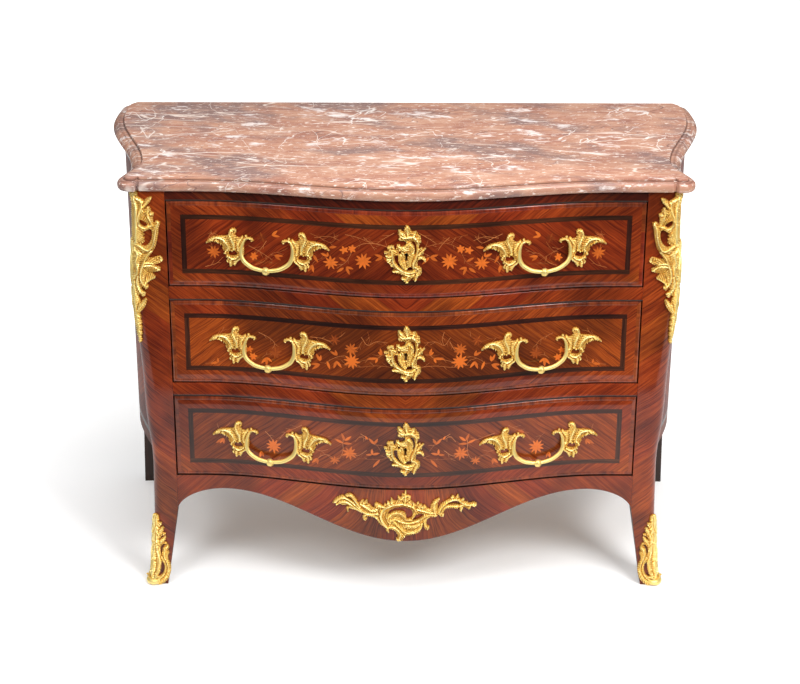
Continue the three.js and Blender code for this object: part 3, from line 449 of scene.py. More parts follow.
def lay_grain(piece, flat, angle, tone):
    """Maps each face: flat is every point's place on the unrolled surface in mm; angle is the grain's, in degrees
    from the vertical, and tone is from 0 to 1, each for every face or for all."""
    mesh = piece.data
    corner = np.zeros(len(mesh.loops), np.int32)
    mesh.loops.foreach_get("vertex_index", corner)
    sizes = np.zeros(len(mesh.polygons), np.int32)
    mesh.polygons.foreach_get("loop_total", sizes)
    angle, tone = [np.broadcast_to(np.asarray(values, float), sizes.shape) for values in (angle, tone)]
    keep(mesh, "leaf", tone, "FACE")
    across, up = np.asarray(flat, float)[corner].T
    turn, shift = np.radians(np.repeat(angle, sizes)), np.round(np.repeat(tone, sizes) * 97) * 31
    grain = np.stack([across * np.cos(turn) - up * np.sin(turn) + shift,
                      across * np.sin(turn) + up * np.cos(turn) + shift], 1) * MM
    mesh.uv_layers.new(name="grain").data.foreach_set("uv", grain.ravel())


def between_grids(front, back):
    """Points and faces of the closed body between two equal grids of (x, depth, z), seen from in front with x then
    z rising. The front's faces come first, row by row; then as many of the back's."""
    front, back = [np.stack(np.broadcast_arrays(*grid), -1) for grid in (front, back)]
    across, up = front.shape[:2]
    index = np.arange(across * up).reshape(across, up)
    under = index + across * up

    def cells(grid):
        return np.stack([grid[:-1, :-1], grid[1:, :-1], grid[1:, 1:], grid[:-1, 1:]], -1).reshape(-1, 4)

    rim = np.concatenate([index[:, 0], index[-1, 1:], index[-2::-1, -1], index[0, -2:0:-1]])
    low = rim + across * up
    walls = np.stack([rim, low, np.roll(low, -1), np.roll(rim, -1)], 1)
    faces = np.concatenate([cells(index), cells(under)[:, ::-1], walls])
    return np.concatenate([front.reshape(-1, 3), back.reshape(-1, 3)]), faces


def through_rings(rings):
    """Points and faces of a closed body through equal rings of points, capped at both ends."""
    rings = np.asarray(rings, float)
    count, around = rings.shape[:2]
    index = np.arange(count * around).reshape(count, around)
    after = np.roll(index, -1, axis=1)
    faces = np.stack([index[:-1], after[:-1], after[1:], index[1:]], -1).reshape(-1, 4).tolist()
    return rings.reshape(-1, 3), faces + [index[0, ::-1].tolist(), index[-1].tolist()]


def steps(low, high, size, *marks):
    """Even stations from low to high, with the marks among them."""
    count = max(2, int(round((high - low) / size)) + 1)
    even = [x for x in np.linspace(low, high, count) if all(abs(x - mark) > size * 0.3 for mark in marks)]
    return np.array(sorted({float(x) for x in (low, high, *even, *marks)}))


def finish_piece(piece, body, slot, *nodes):
    if nodes:
        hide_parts(*nodes)
    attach(piece, body)


SIDES = (("right", 1), ("left", -1))


# Marble slab

SLAB_STEP, LOBE_STEPS = 11, 12
LOBE_START = 8  # the lobe's side begins that far behind the centre of its round
SPREAD_RUN = 70  # and the edge broadens over that length behind it
SPREAD_HEIGHTS = (0.3, 0.8)  # shares of the slab's thickness between which it broadens
# how much painted shade lies on the moulding, by share of the slab's thickness
GROOVE_SHADE = [(0.77, 0), (0.795, 0.7), (0.8, 1), (0.92, 0)]


def marble_line(inset, spread):
    """Half the slab's outline at one height of its moulded edge, from the middle of the front to the wall."""
    lobe_front = CASE_DEPTH + LOBE_REACH
    centre = lobe_front - LOBE_ROUND
    lobe_side = float(side_plan(centre)) + MARBLE_SIDE
    line = [(x, front_depth(x, CASE_HEIGHT) + MARBLE_FRONT - inset)
            for x in steps(0, NOTCH_HALF - NOTCH_WIDTH, SLAB_STEP)]
    line += [(NOTCH_HALF, lobe_front - NOTCH_DEPTH - inset), (NOTCH_HALF + NOTCH_WIDTH, lobe_front - inset)]
    for turn in np.linspace(0, math.pi / 2, LOBE_STEPS):
        line.append((lobe_side - LOBE_ROUND + (LOBE_ROUND - inset) * math.sin(turn),
                     centre + (LOBE_ROUND - inset) * math.cos(turn)))
    start = centre - LOBE_START
    line += [(float(side_plan(depth)) + MARBLE_SIDE - inset - spread * min(1, (start - depth) / SPREAD_RUN), depth)
             for depth in steps(LOBE_ROUND / 2, start, SLAB_STEP)[::-1]]
    return line + [(float(side_plan(0)) + MARBLE_SIDE - inset - spread - LOBE_ROUND / 3, 0)]


def marble_top():
    foot, thick = CASE_HEIGHT + GAP, MARBLE_THICK - GAP
    profile = [(up, float(along(EDGE, up))) for up in np.linspace(0, EDGE[-1][0], 11)] + EDGE_FILLET
    rings = []
    for up, inset in profile:
        half = marble_line(inset * EDGE_INSET, SIDE_SPREAD * float(np.interp(up, SPREAD_HEIGHTS, [0, 1])))
        whole = half + [(-x, depth) for x, depth in half[:0:-1]]
        rings.append([(x, depth, foot + up * thick) for x, depth in whole])
    points, faces = through_rings(rings)
    piece = build("marble_slab", points, faces, [MARBLE], smooth=34)
    keep(piece.data, "groove", np.interp((points[:, 2] - foot) / thick, *zip(*GROOVE_SHADE)))
    finish_piece(piece, "case", "marble", "marble_top")


# Veneered fronts

EDGE_ROLL, EDGE_DROP = 6, 2.4
QUIRK, QUIRK_DEPTH, QUIRK_HALF = 8, 0.3, 0.8
BAND_INSET, BAND_WIDTH = 26, 9.5
BANDS = (QUIRK, BAND_INSET, BAND_INSET + BAND_WIDTH)
FRONT_THICK = 25
LEAN = 52  # grain angle of the crossbanding and of the quartered field
FRONT_STEP, APRON_STEP = 9, 7  # between stations along a front
FRONT_TONES = {"top": 0.37, "middle": 0.58, "bottom": 0.71}
FACING_THICK, FACING_PROUD, FACING_PLAY, ARRIS, GAP_SHADOW_HEIGHT = 3, 0.5, 0.1, 1.2, 2.4
KEYHOLE_DROP = 1.5  # below the drawer's middle
KEYHOLE_ROUND, KEYHOLE_EYE, KEYHOLE_FOOT, KEYHOLE_LOW = 3.8, 3.4, 2.9, -8.2


def rolled_edge(away):
    """How far a drawer's face drops back, away mm from its edge: a rolled edge and a fine quirk."""
    roll = EDGE_DROP * quarter_drop(1 - np.clip(away / EDGE_ROLL, 0, 1))
    return roll + QUIRK_DEPTH * np.clip(1 - np.abs(away - (EDGE_ROLL + QUIRK) / 2) / QUIRK_HALF, 0, 1)


def cell_middles(grid):
    return (grid[1:, 1:] + grid[:-1, :-1]) / 2


def banded_faces(ends, flats):
    """The finish and the grain angle of cells by their distances from the nearer end and the nearer long edge."""
    away, level = np.minimum(ends, flats), ends < flats
    which = np.select([away < edge for edge in BANDS], [0, 1, 2], 3)
    return which.ravel(), np.choose(which, [np.where(level, 90, 0), np.full(away.shape, LEAN),
                                            np.where(level, 0, 90), np.full(away.shape, -LEAN)]).ravel()


def keyhole_cutter(middle):
    """A keyhole through a drawer front: a round eye over a flared slot, a little below the drawer's middle."""
    turns = np.radians(np.linspace(-58, 238, 17))
    across = np.concatenate([KEYHOLE_ROUND * np.cos(turns), [-KEYHOLE_FOOT, KEYHOLE_FOOT]])
    up = np.concatenate([KEYHOLE_EYE + KEYHOLE_ROUND * np.sin(turns), [KEYHOLE_LOW] * 2]) + middle - KEYHOLE_DROP
    at = front_depth(0, middle)
    rings = [np.stack([across, np.full(len(across), depth), up], 1) for depth in (at - 40, at + 15)]
    return build("keyhole_cutter", *through_rings(rings), [OAK_ACROSS])


def pierce(piece, cutter):
    """Takes the cutter out of a piece, and removes the cutter."""
    cut = piece.modifiers.new("keyhole", "BOOLEAN")
    cut.operation, cut.object, cut.solver = "DIFFERENCE", cutter, "EXACT"
    pierced = bpy.data.meshes.new_from_object(piece.evaluated_get(bpy.context.evaluated_depsgraph_get()))
    piece.modifiers.clear()
    piece.data = pierced
    bpy.data.objects.remove(cutter)


def drawer_front(name, middle, tone):
    half, rise = OPENING_HALF - DRAWER_PLAY, OPENING_HEIGHT / 2 - DRAWER_PLAY
    low, high = middle - rise, middle + rise
    marks = [0.3, 0.9, 1.8, 3, 4.4, EDGE_ROLL, (EDGE_ROLL + QUIRK) / 2, *BANDS]
    xs = steps(-half, half, FRONT_STEP, 0, *[half - mark for mark in marks], *[mark - half for mark in marks])
    zs = steps(low, high, FRONT_STEP, *[high - mark for mark in marks], *[low + mark for mark in marks])
    x, z = np.meshgrid(xs, zs, indexing="ij")
    away = np.minimum(np.minimum(x + half, half - x), np.minimum(z - low, high - z))
    depth = front_depth(x, z)
    points, faces = between_grids((x, depth - rolled_edge(away), z), (x, depth - FRONT_THICK, z))
    cx, cz = cell_middles(x), cell_middles(z)
    shown, angle = banded_faces(half - np.abs(cx), np.minimum(cz - low, high - cz))
    walls = len(faces) - 2 * len(shown)
    # painted shadow: the walls round the front's thickness take the dark stain, so the gaps round the drawer read as
    # shadow
    piece = build(f"veneered_front_{name}", points, faces,
                  [EDGE_WOOD, KINGWOOD, BAND_WOOD, FIELD_WOOD, OAK_ACROSS, STAINED],
                  np.concatenate([shown, np.full(len(shown), 4), np.full(walls, 5)]), smooth=30)
    lay_grain(piece, np.stack([np.abs(points[:, 0]), points[:, 2] - middle], 1),
              np.concatenate([angle, np.zeros(len(faces) - len(shown))]), tone)
    pierce(piece, keyhole_cutter(middle))
    finish_piece(piece, f"drawer_{name}", "veneer", f"drawer_{name}_front")


def rail_facing(name, low, high, tone, wood=KINGWOOD):
    """Veneer on a front rail, with its arrises taken off; its lowest strip takes the dark stain, a painted shadow over
    the drawer below.
    """
    half = OPENING_HALF - GAP
    xs = steps(-half, half, FRONT_STEP, 0)
    zs = np.array([low - FACING_PLAY, low + ARRIS * 0.4, low + ARRIS, low + GAP_SHADOW_HEIGHT, high - ARRIS,
                   high - ARRIS * 0.4, high + FACING_PLAY])
    x, z = np.meshgrid(xs, zs, indexing="ij")
    eased = np.clip(1 - np.minimum(z - low, high - z) / ARRIS, 0, 1) ** 2
    depth = front_depth(x, z)
    points, faces = between_grids((x, depth + FACING_PROUD - ARRIS * 0.5 * eased, z), (x, depth - FACING_THICK, z))
    # painted shadow: the lowest strip of the facing takes the dark stain, for the shadow in the gap above the drawer
    shown = cell_middles(z).ravel() < low + GAP_SHADOW_HEIGHT
    piece = build(f"rail_facing_{name}", points, faces, [wood, STAINED],
                  np.concatenate([shown, np.zeros(len(faces) - len(shown))]), smooth=50)
    lay_grain(piece, np.abs(points[:, [0, 2]]), LEAN, tone)
    finish_piece(piece, "case", "veneer")


def apron_front():
    half, top = OPENING_HALF - GAP, LEG_HEIGHT
    arris, arris_drop, fan_half = 2.5, 2.2, 260
    xs = steps(-half, half, APRON_STEP, 0, *[sign * x for x in (436, 442, 446, 449.5, 452) for sign in (-1, 1)])
    x, share = np.meshgrid(xs, np.array([0, 0.012, 0.03, *np.linspace(0.1, 1, 13)]), indexing="ij")
    low = apron_low(x)
    z = low + (top - low) * share
    eased = arris_drop * np.clip(1 - (z - low) / arris, 0, 1) ** 2
    points, faces = between_grids((x, front_depth(x, z) - eased, z), (x, front_depth(x, top) - APRON_THICK, z))
    piece = build("veneered_apron", points, faces, [KINGWOOD, STAINED],
                  np.arange(len(faces)) >= cell_middles(x).size, smooth=50)
    # the veneer's leaves fan out from the middle
    across, drop = np.abs(points[:, 0]), top - points[:, 2]
    fanned = across - drop * 1.1 * swing(across / fan_half)
    lay_grain(piece, np.stack([fanned, points[:, 2]], 1), 0, 0.31)
    finish_piece(piece, "case", "veneer", "apron")


# Legs and sides

def stile_ring(z):
    """A stile's outline at a height, from its inner front edge round the corner to the back, and how many of its
    points are on the outside."""
    outer, edge, round_ = map(float, corner_curve(z))
    inner = OPENING_HALF if z > KNEE_HEIGHT else FOOT_INNER + (OPENING_HALF - FOOT_INNER) * z / KNEE_HEIGHT
    back = STILE_BACK + FOOT_SHIFT * float(along(FOOT_BACK, z / CASE_HEIGHT))
    front = edge + round_
    line = [(x, front) for x in np.linspace(inner, outer - round_, 6)]
    line += [(outer - round_ + round_ * math.sin(turn), edge + round_ * math.cos(turn))
             for turn in np.linspace(0, math.pi / 2, 12)[1:]]
    line += [(float(side_half(depth, z)), depth) for depth in np.linspace(edge, back, 7)[1:]]
    outside = len(line)
    line += [(x, back) for x in np.linspace(line[-1][0], inner, 4)[1:]]
    line += [(inner, depth) for depth in np.linspace(back, front, 5)[1:-1]]
    return [(x, depth, z) for x, depth in line], outside


def front_legs():
    rings, counts = zip(*[stile_ring(z) for z in steps(0, CASE_HEIGHT, 15, 4, 9, KNEE_HEIGHT)])
    rings, outside = np.array(rings), counts[0]
    run = np.zeros(rings.shape[:2])
    run[:, 1:] = np.cumsum(np.linalg.norm(np.diff(rings[..., :2], axis=1), axis=2), axis=1)
    unrolled = run + rings[:, :1, 0] - OPENING_HALF
    points, faces = through_rings(rings)
    order = np.arange(len(faces))
    # round the corner the veneer is the side's; the inner faces and both ends are stained
    turned = rings[..., 1] < rings[..., 1].max(axis=1, keepdims=True) - CORNER_ROUND * 0.8
    veneered = np.where(np.resize(turned.ravel(), len(faces)), 2, 0)
    shown = (order % rings.shape[1] < outside - 1) & (order < len(faces) - 2)
    for side, sign in SIDES:
        piece = build(f"veneered_leg_{side}", points * (sign, 1, 1), faces, [KINGWOOD, STAINED, SIDE_WOOD],
                      np.where(shown, veneered, 1))
        lay_grain(piece, np.stack([unrolled.ravel(), points[:, 2]], 1), LEAN, 0.62 if sign > 0 else 0.87)
        finish_piece(piece, "case", "veneer", f"front_leg_{side}")


def side_panels():
    middle = (SIDE_REAR + SIDE_FRONT) / 2
    depths = steps(SIDE_REAR, SIDE_FRONT, FRONT_STEP, middle, *[SIDE_REAR + mark for mark in BANDS],
                   *[SIDE_FRONT - mark for mark in BANDS])
    lows = side_low(depths)
    z = np.array([np.sort([*np.linspace(low, CASE_HEIGHT, 64), *[low + mark for mark in BANDS],
                           *[CASE_HEIGHT - mark for mark in BANDS]]) for low in lows])
    depth, low = [np.repeat(values[:, None], z.shape[1], 1) for values in (depths, lows)]
    points, faces = between_grids((side_half(depth, z), depth, z),
                                  (side_plan(depth) - sway_at(depth) - SIDE_WALL, depth, z))
    cell_d, cell_z, cell_low = map(cell_middles, (depth, z, low))
    shown, angle = banded_faces(np.minimum(cell_d - SIDE_REAR, SIDE_FRONT - cell_d),
                                np.minimum(cell_z - cell_low, CASE_HEIGHT - cell_z))
    rest = len(faces) - len(shown)
    which = np.concatenate([np.maximum(shown, 1) - 1, np.full(rest, 3)])
    flat = np.stack([np.abs(points[:, 1] - middle), points[:, 2] - CASE_HEIGHT / 2], 1)
    for side, sign in SIDES:
        piece = build(f"veneered_side_{side}", points * (sign, 1, 1), faces,
                      [SIDE_WOOD, BAND_WOOD, SIDE_WOOD, OAK_ACROSS], which)
        lay_grain(piece, flat, np.concatenate([angle, np.zeros(rest)]), 0.45)
        finish_piece(piece, "case", "veneer", f"side_panel_{side}")


def inside_boards():
    """The CAD boards, locks and rear legs keep their shapes and get their timbers and metals."""
    for name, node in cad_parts.items():
        if name.startswith("lock_"):
            finish = IRON
        elif name.startswith(("rear_leg", "front_rail")):
            finish = STAINED
        elif "_side_" in name or "guide_" in name:
            finish = OAK_DEEP
        else:
            finish = OAK_ACROSS
        for place in node.material_slots:
            place.material = finish


inside_boards()
marble_top()
for name, middle in DRAWERS.items():
    drawer_front(name, middle, FRONT_TONES[name])
half_opening = OPENING_HEIGHT / 2
# the frieze takes the darker kingwood, a painted shadow under the slab
rail_facing("frieze", DRAWERS["top"] + half_opening, CASE_HEIGHT, 0.15, FRIEZE_SHADOW_WOOD)
rail_facing("upper", DRAWERS["middle"] + half_opening, DRAWERS["top"] - half_opening, 0.52)
rail_facing("lower", DRAWERS["bottom"] + half_opening, DRAWERS["middle"] - half_opening, 0.8)
apron_front()
front_legs()
side_panels()


# Gilt castings: drawn flat as (across, up, out) in millimetres, then laid on the case

CAST_GRID, CAST_EDGE, CAST_FULL = 0.9, 1.1, 0.95  # between points, the rim's round, the fullness past its drawn line
PLATE_THICK, CAST_GAP = 1.6, 0.5
LOBE_SIZE, FLUTE = 1.3, 4.2  # of a leaf's edge; from one flute of a leaf to the next
RIB_RISE, RIB_SHARE = 0.82, 0.66  # of the drawn height and half width
LEAF_RISE, LEAF_GROOVE = 3.6, 0.75
FLUTE_DEPTH, FLUTE_SLANT, CHASING_DEPTH = 1.2, 0.8, 0.3
CHASED_MOST, CHASED_SHARE = 1.5, 0.7
TIP_WIDTH, TIP_RISE, TIP_CURL = 1.3, 2.6, 1.5


def curve(rows, closed=False, spacing=1.2):
    """Rows along a smooth line through the given ones, about spacing apart; all columns are carried along."""
    rows = np.array(rows, float)
    if closed:
        rows = np.concatenate([rows[-1:], rows, rows[:2]])
    else:
        rows = np.concatenate([2 * rows[:1] - rows[1:2], rows, 2 * rows[-1:] - rows[-2:-1]])
    pieces = []
    for before, start, end, after in zip(rows, rows[1:], rows[2:], rows[3:]):
        count = max(2, int(np.linalg.norm((end - start)[:2]) / spacing))
        t = np.arange(count)[:, None] / count
        pieces.append(0.5 * (2 * start + (end - before) * t + (2 * before - 5 * start + 4 * end - after) * t ** 2
                             + (3 * start - before - 3 * end + after) * t ** 3))
    if not closed:
        pieces.append(rows[-2:-1])
    return np.concatenate(pieces)


def inside(spots, loop, holes=()):
    """Which spots lie in a loop and in none of its holes."""
    after = np.roll(loop, -1, axis=0)
    across, up = spots[:, :1], spots[:, 1:]
    spans = (loop[:, 1] > up) != (after[:, 1] > up)
    rise = np.where(after[:, 1] == loop[:, 1], 1e-9, after[:, 1] - loop[:, 1])
    cross = (after[:, 0] - loop[:, 0]) * (up - loop[:, 1]) / rise + loop[:, 0]
    found = (spans & (across < cross)).sum(axis=1) % 2 == 1
    for hole in holes:
        found &= ~inside(spots, hole)
    return found


def nearest(spots, samples):
    return np.sqrt(((spots[:, None, :2] - samples[None, :, :2]) ** 2).sum(-1))


def winding(loop):
    return np.sign(np.sum(loop[:, 0] * np.roll(loop[:, 1], -1) - np.roll(loop[:, 0], -1) * loop[:, 1]))


def swollen(loop, size):
    """A closed line moved outward by size."""
    ahead = np.roll(loop, -1, axis=0) - np.roll(loop, 1, axis=0)
    away = np.stack([ahead[:, 1], -ahead[:, 0]], 1) / (np.linalg.norm(ahead, axis=1)[:, None] + 1e-9)
    return loop + away * size * winding(loop)


def scallops(loop, size):
    """How far each point of a leaf's edge stands out: a row of small pointed lobes."""
    run = np.cumsum(np.linalg.norm(loop - np.roll(loop, 1, axis=0), axis=1))
    lobes = max(3, round(run[-1] / FLUTE))
    return (size * (0.6 - np.abs(np.sin(run / run[-1] * math.pi * lobes))))[:, None]


def leaf_tips(outline, sharp=125):
    """The points of an outline where a lobe ends, in a corner sharper than so many degrees."""
    points = np.array(outline, float)[:, :2]
    before, after = np.roll(points, 1, axis=0) - points, np.roll(points, -1, axis=0) - points
    turn = (before[:, 0] * after[:, 1] - before[:, 1] * after[:, 0]) * winding(points)
    cosine = (before * after).sum(1) / np.linalg.norm(before, axis=1) / np.linalg.norm(after, axis=1)
    return points[(turn < 0) & (np.degrees(np.arccos(cosine)) < sharp)]


def leaf_fingers(outline, stems):
    """A rounded finger from the nearest stem out to each tip: narrower and curled up at its end."""
    ribs = np.concatenate(stems)
    fingers = []
    for tip in leaf_tips(outline):
        root = ribs[np.argmin(nearest(tip[None], ribs)[0])]
        reach = tip - root[:2]
        length = np.linalg.norm(reach)
        if length < 3:
            continue
        side = np.array([-reach[1], reach[0]]) * 0.14
        t = np.linspace(0, 1, max(4, int(length / 0.9)))[:, None]
        path = root[:2] + reach * t * 0.97 + side * np.sin(np.pi * t)
        width = (1 - t) * min(4.0, 1.6 + length * 0.12) + t * TIP_WIDTH
        height = root[3] * (1 - t) * 0.85 + TIP_RISE * t + TIP_CURL * np.exp(-((t - 0.86) / 0.14) ** 2)
        fingers.append(np.concatenate([path, width, height], 1))
    return fingers


def raised(spots, ribs):
    """Height at each spot: round ribs of (across, up, half width, height), with full leaf between them that is
    parted by a groove half way to the next rib, and fluted outward from its rib."""
    starts = np.cumsum([0] + [len(rib) for rib in ribs[:-1]])
    runs = np.concatenate([np.cumsum(np.linalg.norm(np.diff(rib[:, :2], axis=0, prepend=rib[:1, :2]), axis=1))
                           for rib in ribs])
    every = np.concatenate(ribs)
    height = np.zeros(len(spots))
    for chunk in np.array_split(np.arange(len(spots)), max(1, len(spots) // 3000)):
        away = nearest(spots[chunk], every)
        round_ = np.sqrt(np.clip(1 - (away / every[:, 2] / RIB_SHARE) ** 2, 0, None))
        rib = (every[:, 3] * RIB_RISE * round_).max(1)
        first, second = np.sort(np.minimum.reduceat(away, starts, axis=1), axis=1)[:, :2].T
        share = first / (first + second + 1e-6)
        phase = runs[away.argmin(1)] - FLUTE_SLANT * first
        flutes = FLUTE_DEPTH * np.cos(2 * math.pi * phase / FLUTE) * np.clip(first / 1.6 - 0.5, 0, 1)
        leaf = LEAF_RISE * (1 - LEAF_GROOVE * (2 * share) ** 3)
        across, up = spots[chunk].T
        chasing = CHASING_DEPTH * np.sin(2.3 * across + 2 * np.sin(1.1 * up)) * np.sin(2.1 * up)
        height[chunk] = np.maximum(rib, leaf) + flutes + chasing
    return height


def cast_plate(outline, holes, stems):
    """A chased plate: points as (across, up, out), faces, and each point's relief from hollow to ridge."""
    rim = curve(outline, closed=True, spacing=0.9)
    rim = swollen(rim, CAST_FULL + scallops(rim, LOBE_SIZE))
    holes = [swollen(curve(hole, closed=True, spacing=0.9), -CAST_FULL * 0.4) for hole in holes]
    stems = [curve(stem) for stem in stems]
    low, high = rim.min(0), rim.max(0)
    across, up = np.meshgrid(np.arange(low[0], high[0], CAST_GRID), np.arange(low[1], high[1], CAST_GRID * 0.87))
    across = across + (np.arange(len(across)) % 2)[:, None] * CAST_GRID / 2
    spots = np.stack([across.ravel(), up.ravel()], 1)
    edge = np.concatenate([rim, *holes])
    spots = spots[inside(spots, rim, holes)]
    spots = spots[nearest(spots, edge).min(1) > CAST_GRID * 0.55]
    links, start = [], 0
    for loop in (rim, *holes):
        links += [(start + i, start + (i + 1) % len(loop)) for i in range(len(loop))]
        start += len(loop)
    verts, _, triangles, *_ = delaunay_2d_cdt([Vector(spot) for spot in np.concatenate([edge, spots])],
                                              links, [], 0, 1e-6)
    flat, triangles = np.array([tuple(vert) for vert in verts]), np.array(triangles)
    used, triangles = np.unique(triangles[inside(flat[triangles].mean(1), rim, holes)], return_inverse=True)
    triangles, flat = triangles.reshape(-1, 3), flat[used]
    height = raised(flat, stems + leaf_fingers(outline, stems))
    # ridges and hollows are cut back sharper after casting
    count = len(flat)
    edges = np.concatenate([triangles[:, [0, 1]], triangles[:, [1, 2]], triangles[:, [2, 0]]])
    around = height
    for _ in range(5):
        beside = (np.bincount(edges[:, 0], around[edges[:, 1]], count)
                  + np.bincount(edges[:, 1], around[edges[:, 0]], count))
        around = beside / np.bincount(edges.ravel(), minlength=count)
    chased = np.clip(height - around, -CHASED_MOST, CHASED_MOST)
    height = np.maximum(height + CHASED_SHARE * chased, 0)
    rounded = np.sqrt(1 - (1 - np.clip(nearest(flat, edge).min(1) / CAST_EDGE, 0, 1)) ** 2)
    top = PLATE_THICK * 0.5 + (PLATE_THICK * 0.5 + height) * rounded
    relief = np.clip(0.26 + 0.08 * height + 0.32 * chased, 0, 1) * (0.4 + 0.6 * rounded)
    # the back, and a wall round every edge
    _, first, times = np.unique(np.sort(edges, axis=1), axis=0, return_index=True, return_counts=True)
    walls = [(b, a, a + count, b + count) for a, b in edges[first[times == 1]]]
    points = np.concatenate([np.column_stack([flat, top]), np.column_stack([flat, np.zeros(count)])])
    faces = triangles.tolist() + (triangles[:, ::-1] + count).tolist() + walls
    return points, faces, np.concatenate([relief, relief * 0])


def cast_bar(rows, sides=10):
    """A round bar along rows of (across, up, out, half thickness)."""
    rows = curve(rows, spacing=1.6)
    path, thick = rows[:, :3], rows[:, 3]
    ahead = np.gradient(path, axis=0)
    ahead /= np.linalg.norm(ahead, axis=1)[:, None]
    beside = np.cross(np.array([0, 0, 1.0]), ahead)
    beside /= np.linalg.norm(beside, axis=1)[:, None] + 1e-9
    over = np.cross(ahead, beside)
    turns = np.arange(sides) * 2 * math.pi / sides
    rings = [spot + size * (np.cos(turns)[:, None] * b + np.sin(turns)[:, None] * o)
             for spot, size, b, o in zip(path, thick, beside, over)]
    return *through_rings(rings), np.tile(0.34 + 0.34 * np.abs(np.sin(turns)), len(path))


def cast_bud(across, up, out, size, ribs=5, sides=20):
    """A ribbed bud or bead, its axis upright."""
    turns, rings = np.arange(sides) * 2 * math.pi / sides, []
    for t in np.linspace(0.04, 0.96, 9):
        reach = size / 2 * math.sin(math.pi * t) ** 0.7 * (1 + 0.1 * np.cos(ribs * turns))
        height = np.full(sides, up - size / 2 * math.cos(math.pi * t))
        rings.append(np.stack([across + reach * np.cos(turns), height, out + reach * np.sin(turns)], 1))
    points, faces = through_rings(rings)
    return points, faces, np.full(len(points), 0.6)


def together(parts):
    """One set of points, faces and reliefs from several closed bodies."""
    points, faces, relief, start = [], [], [], 0
    for spots, sides, level in parts:
        fans = np.array([(side[0], side[k], side[k + 1]) for side in sides for k in range(1, len(side) - 1)])
        if np.linalg.det(spots[fans]).sum() < 0:
            sides = [side[::-1] for side in sides]
        points.append(spots)
        faces += [[corner + start for corner in side] for side in sides]
        relief.append(level)
        start += len(spots)
    return np.concatenate(points), faces, np.concatenate(relief)


def casting(name, body, node, part, placed):
    """A gilt mount from flat points that placed has put on the case."""
    piece = build(name, placed, part[1], [GILT], smooth=48)
    keep(piece.data, "relief", part[2])
    finish_piece(piece, body, "gilt", node)


def on_front(points, x, z):
    across, up = x + points[:, 0], z + points[:, 1]
    return np.stack([across, front_depth(across, up) + CAST_GAP + points[:, 2], up], 1)


def drawn(rows, origin, step):
    """Rows drawn on a grid from the top left, as millimetres across and up from the origin of the drawing."""
    rows = np.array(rows, float)
    rows[:, 0] = (rows[:, 0] - origin[0]) * step[0]
    rows[:, 1] = (origin[1] - rows[:, 1]) * step[1]
    return rows.tolist()


# Pulls: two pierced leaves and a bail that stands clear of the drawer

HANDLE_MIDDLE, HANDLE_DROP = 262, 11
HANDLE_LEAF = [
    (27, 24.5), (32, 28.5), (38, 29), (41, 33.5), (44, 28), (48, 31), (51, 27), (56, 27.5), (60, 30), (62, 35),
    (59.5, 39.5), (61, 44.5), (66, 46), (70.5, 43), (73, 37), (75, 31), (80, 30), (86, 29.5), (95, 28.5), (104, 26.5),
    (111, 22.5), (116, 16), (111, 16.5), (106, 19.5), (103, 18.5), (99, 20), (96, 16.5), (92, 17), (89, 12), (86, 11),
    (85, 3), (81, 0), (82.5, -5), (78, -7), (79.5, -12), (76, -15), (78.5, -21.5), (73.5, -24), (72, -31), (67, -27),
    (63, -28), (60, -22.5), (56, -19), (51, -14), (47.5, -10), (46, 2), (46, 14), (42.5, 22), (37.5, 25.8), (33, 25),
    (30, 22),
]
HANDLE_HOLE = [(58, -7), (60, -1), (65, 1), (68, -1), (73, 0), (75, -6), (71, -10), (63, -9)]
HANDLE_STEMS = [
    [(113, 18.5, 1.8, 3), (104, 25, 3, 4.6), (94, 26.5, 3.8, 6), (85, 23, 4, 7), (78, 15, 3.8, 7), (75, 6, 3, 6),
     (79, 0, 2.2, 4)],
    [(64, 44, 2.2, 4), (70, 41, 3, 5.6), (72, 34, 3.4, 6), (69, 25, 4.4, 6.5), (65, 16, 4.6, 7), (64, 6, 3, 6)],
    [(48, 28.5, 1.8, 3), (53, 21, 3, 5), (57, 13, 3.4, 6), (55, 4, 2.6, 5)],
    [(57, -11, 2.2, 4), (62, -14, 3, 6), (68, -15, 3.2, 6.5), (75, -11, 2.4, 5)],
    [(28, 25, 1.8, 2.6), (34, 28, 2.2, 4), (41, 27, 2.6, 5.5), (46, 22, 3, 6), (49, 12, 3, 6), (49.5, 0, 3, 6),
     (51, -12, 3, 6), (57, -17, 3, 5.5)],
]
BAIL = [
    (44, 25, 5, 1.5), (47.5, 16, 6, 2.6), (49, 5, 7, 3.6), (48, -5, 9, 4.1), (43, -15, 11.5, 4.2), (34, -22, 13.5, 4.2),
    (25, -26.5, 15, 4.1), (15, -29, 15.5, 3.9), (8, -30, 16, 3.7), (2.5, -30.3, 16, 3.6),
]
BAIL_TOP, BAIL_FALL, BAIL_BUD = 24, 57, 14.5  # what swings hangs from the top; the bud in its middle
LEFT_SWING = -4  # the left pulls' bails hang a little to the side


def pull(swung):
    """The two leaves and the bail between them, which hangs swung a little to one side."""
    leaf = cast_plate(HANDLE_LEAF, [HANDLE_HOLE], HANDLE_STEMS)
    half = BAIL + [(-across, *rest) for across, *rest in BAIL[::-1]]
    hung = [(across + swung * (BAIL_TOP - up) / BAIL_FALL, up, *rest) for across, up, *rest in half]
    return together([leaf, (leaf[0] * (-1, 1, 1), *leaf[1:]), cast_bar(hung), cast_bud(swung, -31.5, 16, BAIL_BUD)])


